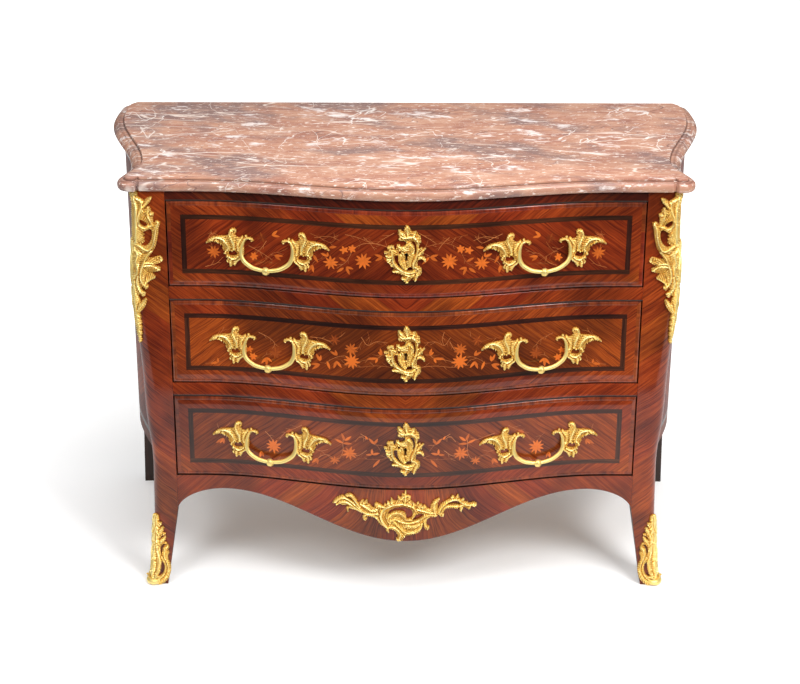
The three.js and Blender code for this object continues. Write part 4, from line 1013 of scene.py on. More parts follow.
# Keyhole plates: an open shield in a frame of scrolls and leaves
ESCUTCHEON_AT, ESCUTCHEON_STEP, ESCUTCHEON_LIFT = (695, 812), (0.0891, 0.0905), 1
ESCUTCHEON_RIM = [
    (700, 160), (740, 190), (765, 230), (795, 290), (840, 300), (880, 285), (915, 310), (925, 355), (965, 385),
    (985, 430), (975, 465), (1000, 500), (975, 530), (960, 570), (945, 610), (940, 655), (975, 665), (1010, 645),
    (1020, 685), (1060, 670), (1095, 655), (1085, 690), (1045, 730), (1050, 765), (1010, 800), (990, 822),
    (1040, 835), (1080, 870), (1100, 920), (1085, 945), (1060, 925), (1030, 895), (985, 890), (945, 905),
    (920, 960), (915, 1010), (925, 1050), (975, 1070), (1005, 1120), (1010, 1180), (985, 1230), (945, 1270),
    (920, 1310), (905, 1350), (885, 1372), (850, 1345), (852, 1305), (815, 1290), (800, 1330), (760, 1345),
    (740, 1390), (690, 1415), (650, 1385), (640, 1345), (600, 1340), (590, 1310), (625, 1280), (655, 1260),
    (600, 1230), (540, 1205), (470, 1198), (410, 1172), (430, 1135), (485, 1122), (430, 1080), (360, 1028),
    (375, 995), (310, 975), (275, 895), (300, 862), (262, 828), (272, 800), (230, 762), (250, 735), (310, 742),
    (325, 715), (300, 670), (310, 620), (360, 605), (420, 610), (430, 650), (450, 695), (475, 690), (490, 640),
    (505, 580), (545, 580), (570, 622), (620, 618), (670, 590), (695, 550), (690, 510), (665, 485), (610, 482),
    (570, 470), (540, 450), (545, 400), (525, 340), (530, 270), (560, 255), (600, 292), (640, 302), (650, 240),
    (680, 180),
]
ESCUTCHEON_HOLES = [
    [(440, 850), (480, 800), (525, 820), (520, 900), (540, 980), (590, 1060), (632, 1108), (595, 1100), (520, 1040),
     (460, 960)],
    [(800, 520), (845, 490), (885, 540), (905, 640), (900, 730), (870, 785), (857, 765), (870, 700), (860, 620),
     (825, 560)],
    [(690, 1125), (730, 1085), (780, 1070), (825, 1095), (825, 1138), (770, 1155), (712, 1150)],
    [(520, 745), (560, 712), (585, 740), (565, 775), (530, 772)],
]
ESCUTCHEON_STEMS = [
    [(340, 650, 2.4, 4), (390, 740, 3, 5.5), (400, 850, 3, 6), (420, 960, 3, 6.5), (500, 1070, 3, 7),
     (620, 1150, 3, 7), (740, 1190, 2.8, 7), (850, 1170, 2.6, 6.5), (900, 1120, 2.4, 6)],
    [(560, 380, 2.4, 4), (630, 410, 3, 6), (720, 410, 3.6, 7), (820, 400, 4, 7.5), (905, 460, 3.6, 7),
     (940, 550, 2.6, 6.5), (925, 680, 2.4, 6.5), (920, 780, 3, 6.5), (890, 870, 3.2, 7), (850, 960, 3.4, 7),
     (840, 1040, 3, 6.5), (920, 1090, 2.8, 6), (960, 1150, 2.6, 6), (930, 1230, 2.6, 5.5), (885, 1330, 2, 4)],
    [(705, 190, 2.2, 4), (715, 280, 3, 6), (730, 400, 3, 7)],
    [(550, 290, 2, 4), (610, 350, 2.6, 5.5), (680, 400, 3, 6.5)],
    [(880, 320, 2.2, 4), (850, 370, 3, 6)],
    [(525, 610, 2.2, 4.5), (590, 640, 2, 5.5), (680, 610, 1.8, 6), (740, 560, 1.8, 6.5), (820, 610, 1.7, 6.5),
     (850, 690, 1.7, 6.5), (840, 770, 1.8, 6.5), (800, 860, 1.8, 6.5), (775, 950, 1.8, 6.5), (770, 1040, 2, 6)],
    [(570, 790, 1.8, 6), (560, 880, 1.7, 6.5), (590, 980, 1.7, 6.5), (650, 1070, 1.8, 6.5), (680, 1110, 2, 6)],
    [(1060, 900, 2, 4), (1010, 850, 2.4, 5.5), (950, 850, 2.6, 6)],
    [(1070, 680, 2, 4), (1000, 740, 2.4, 5.5), (950, 800, 2.6, 6)],
    [(450, 1160, 2, 4.5), (540, 1160, 2.6, 6), (640, 1200, 2.8, 6.5), (760, 1250, 2.8, 6.5), (850, 1230, 2.6, 6)],
    [(690, 1380, 2.2, 4.5), (710, 1310, 3, 6), (740, 1240, 2.6, 6)],
]
KEYHOLE = [(0, 7.2), (2.9, 6.2), (3.8, 3.4), (2.9, 0.8), (1.7, -0.4), (2.9, -7.4), (0, -8.2), (-2.9, -7.4),
           (-1.7, -0.4), (-2.9, 0.8), (-3.8, 3.4), (-2.9, 6.2)]


def keyhole_plate():
    def seen(rows):
        return drawn(rows, ESCUTCHEON_AT, ESCUTCHEON_STEP)

    keyhole = [(across, up - ESCUTCHEON_LIFT - KEYHOLE_DROP) for across, up in KEYHOLE]
    return cast_plate(seen(ESCUTCHEON_RIM), [*map(seen, ESCUTCHEON_HOLES), keyhole], [*map(seen, ESCUTCHEON_STEMS)])


pulls = {"right": pull(0), "left": pull(LEFT_SWING)}
plate_part = keyhole_plate()
for name, middle in DRAWERS.items():
    for side, sign in SIDES:
        placed = on_front(pulls[side][0], sign * HANDLE_MIDDLE, middle - HANDLE_DROP)
        casting(f"pull_{name}_{side}", f"drawer_{name}", f"handle_{name}_{side}", pulls[side], placed)
    placed = on_front(plate_part[0], 0, middle + ESCUTCHEON_LIFT)
    casting(f"keyhole_plate_{name}", f"drawer_{name}", f"escutcheon_{name}", plate_part, placed)


# Apron mount: a C-scroll with a crested leaf, two plumes to the left and a reed arm to the right
APRON_MOUNT_AT, APRON_MOUNT_STEP, APRON_MOUNT_UP = (782, 316), (0.19, 0.2155), 190
APRON_RIM = [
    (35, 195), (70, 155), (125, 128), (160, 130), (170, 115), (210, 105), (250, 130), (280, 172), (290, 197),
    (320, 185), (345, 162), (360, 187), (382, 163), (390, 198), (410, 205), (440, 237), (468, 236), (470, 208),
    (482, 190), (520, 205), (560, 220), (575, 198), (598, 210), (605, 173), (632, 185), (640, 140), (668, 168),
    (705, 160), (713, 118), (742, 135), (755, 93), (772, 100), (787, 62), (800, 102), (835, 118), (835, 155),
    (868, 188), (903, 207), (915, 178), (935, 208), (952, 200), (965, 228), (985, 210), (1012, 242), (1048, 250),
    (1053, 220), (1070, 185), (1100, 160), (1140, 145), (1122, 190), (1118, 243), (1130, 252), (1150, 215),
    (1200, 180), (1250, 152), (1275, 120), (1308, 142), (1330, 113), (1345, 150), (1370, 165), (1392, 153),
    (1397, 187), (1430, 190), (1440, 207), (1500, 198), (1530, 215), (1510, 237), (1462, 240), (1455, 262),
    (1420, 245), (1387, 242), (1370, 282), (1354, 268), (1354, 242), (1328, 252), (1280, 237), (1222, 242),
    (1192, 262), (1178, 290), (1187, 318), (1160, 327), (1122, 305), (1108, 330), (1052, 330), (1014, 352),
    (1002, 392), (1010, 420), (1036, 437), (1020, 462), (990, 450), (978, 415), (972, 395), (958, 440),
    (930, 482), (870, 507), (805, 515), (775, 545), (750, 577), (710, 580), (694, 560), (715, 530), (700, 500),
    (680, 472), (642, 457), (612, 460), (616, 492), (595, 487), (585, 455), (558, 432), (520, 402), (490, 362),
    (460, 337), (400, 326), (372, 334), (385, 355), (370, 372), (345, 357), (350, 325), (375, 306), (338, 297),
    (290, 277), (240, 257), (196, 256), (190, 282), (174, 270), (180, 240), (208, 230), (178, 216), (130, 216),
    (102, 206), (80, 222), (64, 220), (70, 202), (45, 207),
]
APRON_HOLES = [
    [(602, 298), (640, 255), (700, 232), (770, 226), (830, 245), (862, 280), (862, 315), (840, 343), (802, 348),
     (792, 310), (770, 280), (720, 270), (660, 277), (622, 300)],
    [(862, 362), (890, 320), (920, 297), (978, 306), (950, 338), (902, 360)],
    [(1212, 208), (1250, 182), (1310, 176), (1355, 198), (1346, 210), (1282, 206), (1242, 211)],
    [(165, 137), (205, 138), (245, 165), (262, 190), (225, 170), (190, 153)],
]
APRON_STEMS = [
    [(50, 195, 1.8, 3.5), (90, 160, 2.4, 5), (150, 145, 3, 6), (220, 178, 3, 6.5), (290, 235, 3, 7),
     (360, 290, 2.8, 7), (430, 305, 2.6, 6.5), (490, 300, 3, 7)],
    [(85, 210, 1.6, 3.5), (130, 188, 2.2, 5.5), (190, 195, 2.6, 6), (260, 240, 2.6, 6.5), (330, 280, 2.4, 6.5)],
    [(185, 268, 1.6, 4), (205, 243, 2, 5), (260, 250, 2.4, 6), (330, 285, 2.4, 6)],
    [(172, 118, 1.8, 4), (225, 122, 2.6, 6), (262, 170, 3, 6.5), (310, 235, 2.8, 6.5)],
    [(320, 205, 2.4, 5), (365, 225, 3.4, 6.5), (420, 262, 3, 6), (475, 268, 3, 6)],
    [(478, 200, 1.8, 4.5), (530, 222, 2.2, 6), (580, 232, 2.2, 6)],
    [(596, 440, 3, 6), (555, 390, 4, 7.5), (532, 330, 4.2, 8.5), (548, 270, 3.8, 8.5), (600, 225, 3.2, 8.5),
     (680, 198, 2.6, 8.5), (770, 192, 2.4, 8.5), (850, 215, 2.4, 8), (895, 262, 2.2, 7.5), (890, 305, 2, 7),
     (858, 345, 2, 6.5)],
    [(612, 330, 2.2, 6.5), (660, 292, 2.4, 7), (730, 288, 2.4, 7.5), (775, 320, 2.2, 7), (800, 357, 2, 7),
     (850, 360, 1.8, 6)],
    [(630, 372, 2, 6.5), (680, 352, 2.4, 7), (740, 372, 2.6, 7.5), (820, 390, 2.6, 7.5), (900, 372, 2.4, 7.5),
     (970, 338, 2.2, 7), (1040, 310, 2, 6.5), (1105, 318, 2, 5)],
    [(355, 360, 2.2, 5), (362, 322, 1.8, 5), (420, 315, 2.2, 6), (480, 335, 2.6, 6.5), (530, 390, 2.8, 6.5),
     (600, 445, 2.6, 6)],
    [(960, 402, 1.8, 6), (940, 455, 2, 6.5), (870, 490, 2.2, 6.5), (800, 490, 2.2, 6.5), (740, 450, 2.4, 6.5),
     (690, 400, 2.4, 6.5), (655, 365, 2, 6)],
    [(606, 480, 1.8, 4.5), (606, 445, 2.4, 6), (650, 435, 2.2, 6), (700, 462, 2.6, 6), (738, 510, 3, 6.5),
     (722, 560, 3, 6)],
    [(788, 80, 2.2, 5), (786, 140, 3.4, 7), (780, 185, 2.4, 7)],
    [(905, 250, 2.2, 6), (960, 262, 2.8, 6.5), (1030, 282, 2.6, 6.5), (1090, 292, 2.4, 6)],
    [(1125, 158, 2, 5), (1090, 200, 3.2, 6.5), (1085, 250, 3, 6.5), (1100, 300, 2.4, 6)],
    [(1150, 312, 2.4, 5), (1148, 265, 2.6, 6.5), (1190, 212, 2.6, 7), (1260, 165, 2.4, 7), (1330, 160, 2.4, 7),
     (1385, 200, 2.8, 6.5), (1450, 220, 2.4, 5.5), (1515, 215, 1.8, 4)],
    [(1160, 300, 2, 5.5), (1190, 240, 2.2, 6), (1260, 222, 2.2, 6), (1340, 228, 2.2, 6), (1390, 215, 2.4, 6)],
    [(1022, 445, 2.4, 5.5), (995, 420, 2, 5.5), (990, 370, 2, 6), (1020, 335, 2, 6)],
    [(790, 420, 3, 5), (870, 425, 3, 5), (930, 410, 2.2, 5)],
]
ARMS_LOW, ARMS_REACH = 5, 140  # the arms hang that much lower at their reach


def apron_rows(rows):
    """Rows of the drawing, in millimetres; the arms hang a little lower than the middle."""
    return [(across, up - 1 - ARMS_LOW * (across / ARMS_REACH) ** 2, *rest)
            for across, up, *rest in drawn(rows, APRON_MOUNT_AT, APRON_MOUNT_STEP)]


apron_part = cast_plate(apron_rows(APRON_RIM), [*map(apron_rows, APRON_HOLES)], [*map(apron_rows, APRON_STEMS)])
casting("apron_leaf_mount", "case", "apron_mount", apron_part, on_front(apron_part[0], 0, APRON_MOUNT_UP))


# Corner mounts and sabots: drawn from the front, then wrapped round the corner

FOOT_CLEAR = 2.2  # no drawn point is nearer to the floor


def run_round(rows, seen, fullness):
    """Rows drawn from the front as rows of the run round the corner and the height. The drawing is of one half;
    fullness keeps what is drawn near the corner's middle clear of it."""
    rows = np.array(rows, float)
    drawn_at, drawn_up = rows[:, 0].copy(), rows[:, 1].copy()
    (start, across, lean), (top, down) = seen
    rows[:, 1] = np.maximum(top - down * drawn_up, FOOT_CLEAR)
    outer, _, round_ = corner_curve(rows[:, 1])
    past = (start + across * drawn_at + lean * drawn_up - outer + round_) / round_
    run = round_ * math.pi / 4 - round_ * np.where(past > 0, np.arcsin(np.clip(past, 0, 1)), past)
    rows[:, 0] = (run + np.sqrt(run ** 2 + fullness ** 2)) / 2
    return rows.tolist()


def on_corner(points, sign):
    run, z, out = points.T[0], points.T[1], points.T[2] + CAST_GAP
    outer, edge, round_ = corner_curve(z)
    quarter = round_ * math.pi / 4
    turn = math.pi / 4 - np.clip(run, -quarter, quarter) / round_
    past_side = np.maximum(0, -quarter - run)
    x = outer - round_ + (round_ + out) * np.sin(turn) - np.maximum(0, run - quarter)
    x = np.where(past_side > 0, side_half(edge - past_side, z) + out, x)
    return np.stack([sign * x, edge + (round_ + out) * np.cos(turn) - past_side, z], 1)


# where a drawing's grid lies: the half width at its start, its step across and lean; its top and step down
CORNER_SEEN = (532.3, -0.1873, 0.0104), (853.8, 0.2062)
CORNER_FRONT = [
    (118, 42), (145, 58), (150, 92), (180, 112), (215, 130), (235, 118), (250, 108), (290, 98), (277, 135),
    (255, 160), (235, 185), (222, 212), (240, 205), (265, 190), (285, 222), (280, 240), (295, 242), (312, 256),
    (305, 300), (315, 350), (345, 330), (377, 345), (365, 390), (360, 440), (350, 500), (340, 550), (325, 595),
    (290, 650), (262, 690), (300, 697), (345, 685), (385, 680), (407, 705), (395, 732), (365, 742), (325, 752),
    (345, 775), (382, 790), (384, 812), (340, 825), (305, 842), (325, 865), (337, 885), (300, 905), (275, 925),
    (250, 945), (266, 980), (245, 1000), (215, 985), (192, 988), (210, 1020), (237, 1045), (222, 1074),
    (190, 1060), (165, 1068), (178, 1100), (190, 1142), (200, 1145), (215, 1115), (247, 1103), (245, 1140),
    (225, 1190), (195, 1225), (180, 1255), (192, 1290), (186, 1320), (200, 1345), (192, 1375), (204, 1400),
    (194, 1430), (205, 1462), (192, 1490), (198, 1525), (190, 1550),
]
CORNER_SIDE = [
    (-2, 1556), (-6, 1500), (-7, 1400), (-13, 1320), (-22, 1240), (-24, 1205), (-15, 1190), (-12, 1120), (-20, 1060),
    (-27, 1000), (-22, 940), (-36, 900), (-48, 850), (-38, 800), (-50, 740), (-38, 690), (-30, 640), (-20, 600),
    (-25, 565), (-14, 540), (-6, 500), (-5, 400), (-6, 300), (-5, 200), (-7, 140), (-16, 100), (-12, 60),
]
CORNER_HOLES = [
    [(178, 322), (205, 325), (252, 360), (225, 384), (195, 372), (175, 348)],
    [(228, 428), (255, 412), (280, 405), (300, 435), (300, 490), (275, 545), (235, 576), (206, 570), (192, 556),
     (226, 532), (215, 512), (228, 494), (207, 480), (224, 462), (205, 448)],
]
CORNER_STEMS = [
    [(120, 62, 3, 5), (128, 120, 3.4, 6), (146, 200, 4, 6.5), (148, 320, 4.4, 6.5), (150, 430, 4.6, 6.5),
     (150, 540, 4.4, 6.5)],
    [(95, 100, 2.4, 4), (150, 112, 2.6, 6), (192, 140, 2.8, 6.5), (190, 220, 2.8, 6.5), (165, 300, 2.6, 6),
     (185, 375, 2.4, 6), (225, 398, 2.8, 6.5), (270, 380, 2.8, 6.5), (300, 370, 2.6, 6)],
    [(282, 105, 2, 4), (245, 150, 2.4, 5.5), (205, 190, 2.4, 6)],
    [(262, 205, 2.2, 4.5), (255, 260, 3, 6), (285, 330, 3, 6.5), (305, 370, 2.6, 6)],
    [(362, 345, 2.6, 5), (340, 400, 3, 7), (332, 470, 3.2, 7.5), (315, 550, 3.4, 8), (275, 610, 3.4, 8),
     (225, 605, 2.6, 7), (180, 572, 2.4, 6), (130, 560, 2, 5)],
    [(290, 625, 3, 7.5), (245, 680, 3.2, 8), (212, 760, 3, 8.5), (195, 850, 2.8, 8), (205, 930, 2.6, 7),
     (245, 982, 2.4, 6)],
    [(130, 600, 3, 6), (165, 660, 3.4, 6.5), (150, 740, 3.2, 6), (165, 820, 3, 6), (140, 900, 3.2, 6)],
    [(170, 880, 3, 6), (165, 960, 3.2, 6.5), (200, 1040, 2.8, 6)],
    [(125, 940, 3, 6), (130, 1050, 3.4, 6.5), (140, 1150, 3.4, 6.5), (155, 1250, 3.2, 6), (165, 1350, 3, 5.5),
     (175, 1450, 2.6, 5), (183, 1530, 2, 3.5)],
    [(235, 1115, 2.4, 5), (205, 1170, 2.8, 6), (170, 1230, 2.6, 6)],
]
CORNER_SIDE_STEMS = [
    [(-14, 90, 2.4, 4), (-6, 130, 2.4, 5)], [(-22, 562, 2, 4), (-12, 590, 3, 6), (-10, 660, 3, 6), (-16, 760, 3, 7),
     (-18, 860, 3, 7), (-14, 940, 3, 6)], [(-20, 1225, 2, 4), (-10, 1150, 3, 6), (-8, 1060, 3, 6)],
]
SIDE_TURN, SIDE_FLAT = (-8, 4), (0.6, 1)  # where the leaf turns to the side, and how flat it lies there


def corner_leaf():
    def seen(rows):
        return run_round(rows, CORNER_SEEN, 4)

    def beside(rows):
        top, down = CORNER_SEEN[1]
        return [(run, top - down * up, *rest) for run, up, *rest in rows]

    points, faces, relief = cast_plate(seen(CORNER_FRONT) + beside(CORNER_SIDE), [*map(seen, CORNER_HOLES)],
                                       [*map(seen, CORNER_STEMS), *map(beside, CORNER_SIDE_STEMS)])
    points[:, 2] *= np.interp(points[:, 0], SIDE_TURN, SIDE_FLAT)
    return points, faces, relief


FOOT_SEEN = (462.4, 0.1032, 0.0051), (168.4, 0.1146)
FOOT_FRONT = [
    (352, 134), (330, 165), (318, 210), (322, 255), (300, 268), (265, 270), (262, 298), (285, 335), (282, 365),
    (225, 350), (206, 380), (230, 425), (240, 462), (200, 468), (176, 488), (225, 500), (270, 540), (302, 600),
    (265, 592), (230, 567), (200, 545), (174, 530), (166, 565), (180, 600), (207, 640), (178, 650), (150, 672),
    (210, 682), (255, 722), (282, 790), (274, 860), (246, 905), (232, 840), (215, 765), (175, 712), (138, 697),
    (110, 727), (108, 770), (132, 805), (104, 832), (110, 880), (126, 930), (112, 1000), (80, 1065), (60, 1150),
    (72, 1250), (100, 1330), (160, 1408), (240, 1458), (330, 1494),
]
FOOT_HOLE = [(242, 1022), (200, 1060), (182, 1130), (192, 1210), (230, 1275), (290, 1306), (320, 1286), (280, 1235),
             (258, 1160), (250, 1080)]
FOOT_STEMS = [
    [(352, 150, 1.8, 4), (356, 230, 2.6, 6), (330, 320, 1.8, 4.5)],
    [(356, 320, 1.8, 4.5), (352, 420, 3, 6.5), (312, 500, 1.8, 4.5)],
    [(352, 500, 1.8, 4.5), (345, 610, 3, 6.5), (305, 690, 1.8, 4.5)],
    [(345, 700, 1.8, 4.5), (325, 810, 2.8, 6.5), (300, 950, 2.6, 6), (290, 1080, 2.2, 5.5), (310, 1200, 2.2, 5.5),
     (360, 1290, 2.4, 6)],
    [(230, 380, 1.8, 4), (290, 470, 2.2, 5.5), (325, 560, 2.2, 5.5)],
    [(185, 560, 1.8, 4), (240, 620, 2.4, 5.5), (300, 700, 2.2, 5.5)],
    [(125, 730, 1.8, 4), (170, 780, 2.6, 5.5), (190, 860, 2.8, 6), (180, 950, 2.8, 6), (135, 1040, 2.4, 6),
     (105, 1150, 2.4, 6.5), (125, 1260, 2.4, 6.5), (190, 1360, 2.4, 6.5), (270, 1420, 2.2, 6)],
    [(250, 940, 2, 5.5), (190, 1010, 2, 5.5), (160, 1110, 1.8, 5.5), (175, 1220, 1.8, 5.5), (230, 1310, 1.8, 5.5),
     (300, 1350, 1.8, 5)],
]
FOOT_SPINE = [(152, 30), (120, 32), (86, 34), (50, 38)]  # overlapping buds: top and length
TOE = [(-13, 10, 3.5, 4), (-7, 8.5, 6, 5.2), (0, 8, 7.5, 5.8), (7, 8.5, 6, 5.2), (13, 10, 3.5, 4)]
BEADS, BEAD_SIZE, BEAD_OUT = [(95, 1200), (108, 1260), (135, 1315), (172, 1360), (215, 1395), (262, 1420)], 3.4, 6
COIL_ACROSS, COIL_UP, COIL_OUT, COIL_THICK, COIL_STEPS = 10, 13, 7, 1.4, 13


def sabot():
    def seen(rows):
        return run_round(rows, FOOT_SEEN, 9)

    def both(rows):
        return [(-run, *rest) for run, *rest in rows]

    front, hole, stems, beads = seen(FOOT_FRONT), seen(FOOT_HOLE), [*map(seen, FOOT_STEMS)], seen(BEADS)
    spine = [[(0, top, 1.8, 4.5), (0, top - 0.6 * length, 3, 6.8), (0, top - length, 1.6, 4)]
             for top, length in FOOT_SPINE]
    # the toe: a rolled scroll across the corner, and a spiral and beads on either cheek of it
    parts = [cast_plate(front + both(front[::-1]), [hole, both(hole)], [*spine, *stems, *map(both, stems)]),
             cast_bar(TOE, sides=16)]
    for sign in (1, -1):
        coil = []
        for k in range(COIL_STEPS):
            turn, size = 1.2 + 0.62 * k, 6.8 - 0.45 * k
            coil.append((sign * (COIL_ACROSS + size * math.cos(turn)), COIL_UP + size * math.sin(turn),
                         COIL_OUT + 0.45 * k, COIL_THICK))
        parts.append(cast_bar(coil, sides=6))
        parts += [cast_bud(sign * run, up, BEAD_OUT, BEAD_SIZE, 0) for run, up in beads]
    return together(parts)


for part, name, node in ((corner_leaf(), "corner_leaf_mount", "corner_mount"), (sabot(), "leaf_sabot", "sabot")):
    for side, sign in SIDES:
        casting(f"{name}_{side}", "case", f"{node}_{side}", part, on_corner(part[0], sign))


# Marquetry sprays: drawn over the left half of each panel from the photograph's side, mirrored to the right

SPRAY_STEP = (0.266, 0.28)
SPRAY_AT = {"top": (220, 165, -365, -15, 0.075), "middle": (496, 226, -295, -25, 0.106),
            "bottom": (645, 226, -259, -14, 0.108)}  # a drawn spot, where it lies, and the drawing's slope
FLOWERS = {  # place, radius in mm, petals, brightness
    "top": [(220, 165, 14.5, 9, 0.6), (1057, 250, 15, 9, 0.8), (1287, 240, 17, 10, 0.75), (508, 205, 9, 6, 0.95),
            (1152, 158, 9, 5, 0.95), (1208, 150, 9, 6, 0.9), (570, 70, 12, 8, 0.1)],
    "middle": [(470, 175, 8, 5, 0.9), (495, 230, 9, 6, 0.95), (660, 205, 14, 9, 0.25), (1212, 185, 14, 9, 0.55),
               (1215, 275, 17, 10, 0.9), (1090, 110, 12, 8, 0.2)],
    "bottom": [(645, 225, 17, 10, 0.85), (1210, 280, 16, 9, 0.7), (1100, 335, 11, 7, 0.6)],
}
LEAVES = {  # foot of a leaf, then the tips that grow from it
    "top": [[(640, 55), (680, 20), (697, 65)], [(655, 200), (700, 237), (718, 205)], [(1045, 140), (1102, 135)],
            [(930, 190), (968, 250)], [(925, 265), (893, 315), (932, 322)], [(1036, 205), (985, 180), (1035, 172)],
            [(1165, 240), (1113, 210)], [(1150, 285), (1098, 320)], [(1165, 280), (1218, 296), (1190, 337)],
            [(1425, 215), (1366, 196), (1372, 243)], [(1430, 215), (1482, 272)]],
    "middle": [[(237, 262), (180, 266), (235, 228)], [(595, 240), (553, 287), (592, 307), (634, 276)],
               [(985, 270), (958, 214), (992, 224)], [(985, 293), (918, 292), (925, 332)], [(1035, 270), (1057, 332)],
               [(1110, 230), (1058, 196), (1095, 188)], [(1105, 270), (1083, 327), (1142, 322)],
               [(1402, 262), (1323, 262), (1386, 297)], [(1432, 240), (1404, 213), (1420, 188)]],
    "bottom": [[(270, 150), (213, 187), (242, 192), (272, 197)], [(738, 117), (792, 94)],
               [(550, 265), (540, 317), (571, 312)], [(970, 318), (928, 357), (971, 367)], [(1162, 200), (1101, 168)],
               [(1175, 182), (1150, 122), (1224, 148)], [(1162, 202), (1228, 207)], [(1390, 217), (1352, 168),
                                                                                     (1418, 174)],
               [(1375, 297), (1432, 288), (1328, 297), (1374, 252)], [(1432, 340), (1380, 398)], [(1342, 178),
                                                                                                  (1324, 148)]],
}
STALKS = {
    "top": [[(1500, 160), (1440, 140), (1380, 120), (1290, 117), (1225, 150), (1190, 205), (1165, 245), (1100, 290)],
            [(1470, 262), (1440, 225), (1425, 212), (1470, 190)], [(1505, 50), (1440, 82), (1380, 120)],
            [(1160, 48), (1245, 70), (1320, 102), (1400, 128)], [(1290, 70), (1335, 115), (1370, 165)],
            [(915, 40), (1000, 80), (1060, 105), (1110, 60)], [(940, 70), (1045, 62), (1120, 90)],
            [(515, 268), (572, 246), (642, 186), (700, 172), (750, 148)], [(470, 128), (525, 158), (600, 205),
                                                                           (640, 235)],
            [(600, 95), (560, 150), (505, 200)], [(155, 270), (235, 250), (285, 205)], [(220, 170), (200, 60),
                                                                                        (250, 20)],
            [(170, 90), (210, 30), (275, 60)], [(240, 60), (195, 20)], [(925, 265), (950, 235), (1036, 205)]],
    "middle": [[(1560, 348), (1400, 318), (1262, 320), (1150, 300), (1080, 290)],
               [(1465, 240), (1430, 240), (1400, 262), (1300, 272), (1245, 300)], [(1020, 290), (1060, 262),
                                                                                   (1110, 240), (1165, 232)],
               [(915, 88), (1000, 100), (1060, 120), (1130, 92), (1170, 58)], [(540, 50), (615, 92), (655, 135),
                                                                               (640, 175)],
               [(1285, 100), (1330, 160), (1392, 138), (1475, 152)], [(560, 240), (605, 215), (700, 225)],
               [(1290, 130), (1262, 180), (1230, 215)], [(985, 280), (1030, 285), (1035, 270)], [(200, 60),
                                                                                                 (260, 40), (290, 0)],
               [(140, 262), (237, 262), (300, 240)], [(1330, 60), (1345, 120), (1330, 160)]],
    "bottom": [[(1525, 325), (1430, 338), (1330, 330), (1250, 318)], [(1335, 262), (1275, 300), (1215, 300)],
               [(1165, 160), (1160, 210), (1162, 255), (1145, 305), (1120, 332)], [(965, 330), (1000, 300),
                                                                                   (1045, 292), (1100, 325)],
               [(440, 300), (520, 335), (620, 345), (720, 335)], [(860, 60), (800, 90), (735, 118), (690, 170)],
               [(585, 110), (630, 165), (645, 220)], [(960, 120), (1040, 150), (1160, 200)], [(1290, 130),
                                                                                              (1350, 175),
                                                                                              (1390, 217),
                                                                                              (1450, 230)],
               [(1250, 190), (1290, 150), (1330, 178)], [(215, 110), (250, 70), (300, 75)], [(960, 250), (1000, 262),
                                                                                             (1050, 250)]],
}
INLAY_PROUD, INLAY_DEEP = 0.12, 0.5
COPY_RISE, COPY_LEVELS = 0.004, 12  # each petal a little higher than the last, so that no two lie in one plane
STALK_DROP, STALK_RISE, STALK_LEVELS = 0.03, 0.003, 9  # below the petals, and lower from stalk to stalk
PETAL_SLIM, PETAL_FULL, LEAF_WIDEST = 0.29, 0.5, 5.2  # widths by length of many or few petals; in mm
TWIG_WIDTH, TWIG_STEP, TWIG_EVERY, STALK_TAPER, STALK_GRAIN = 0.62, 2, 5, 0.45, 60


def on_panel(name, rows):
    """Drawn spots as places across and above the middle of a drawer front, in mm."""
    x0, y0, across, up, slope = SPRAY_AT[name]
    right, down = (np.array(rows, float)[..., :2] - (x0, y0)).T
    return np.stack([across + right * SPRAY_STEP[0], up - (down - slope * right) * SPRAY_STEP[1]], -1)


def petal_rows(name):
    """Every petal and leaf of a panel: foot across and up, turn, length, width and tone."""
    chance = random.Random(f"petals {name}")
    rows = []
    for *place, radius, count, bright in FLOWERS[name]:
        (across, up), start = on_panel(name, [place])[0], chance.uniform(0, 6)
        for k in range(count):
            turn = start + 2 * math.pi * (k + chance.uniform(-0.1, 0.1)) / count
            length = radius * chance.uniform(0.88, 1.04)
            width = length * (PETAL_SLIM if count > 6 else PETAL_FULL)
            rows.append((across, up, turn, length, width, bright + chance.uniform(-0.16, 0.06)))
    for spots in LEAVES[name]:
        foot, *tips = on_panel(name, spots)
        for tip in tips:
            reach = tip - foot
            length = float(np.hypot(*reach))
            rows.append((*foot, math.atan2(-reach[0], reach[1]), length, min(LEAF_WIDEST, 2.2 + length * 0.2),
                         chance.uniform(0.45, 0.8)))
    rows = np.array(rows)
    return np.concatenate([rows, rows * (-1, 1, -1, 1, 1, 1)])


def pattern_of(name, rings):
    points, faces = through_rings(rings)
    return bpy.data.objects.new(name, mesh_of(name, points, faces))


def petal_pattern():
    """One petal a unit long and wide, its foot at the origin, as thick as the inlay."""
    t = np.linspace(0, 1, 8)
    side = 0.5 * np.sin(np.pi * t ** 0.85) ** 0.85
    ring = np.concatenate([np.stack([side, t], 1)[1:-1], [[0, 1]], np.stack([-side, t], 1)[-2:0:-1], [[0, 0]]])
    return pattern_of("petal_pattern", [np.column_stack([ring, np.full(len(ring), level * MM)])
                                        for level in (-INLAY_DEEP, INLAY_PROUD)])


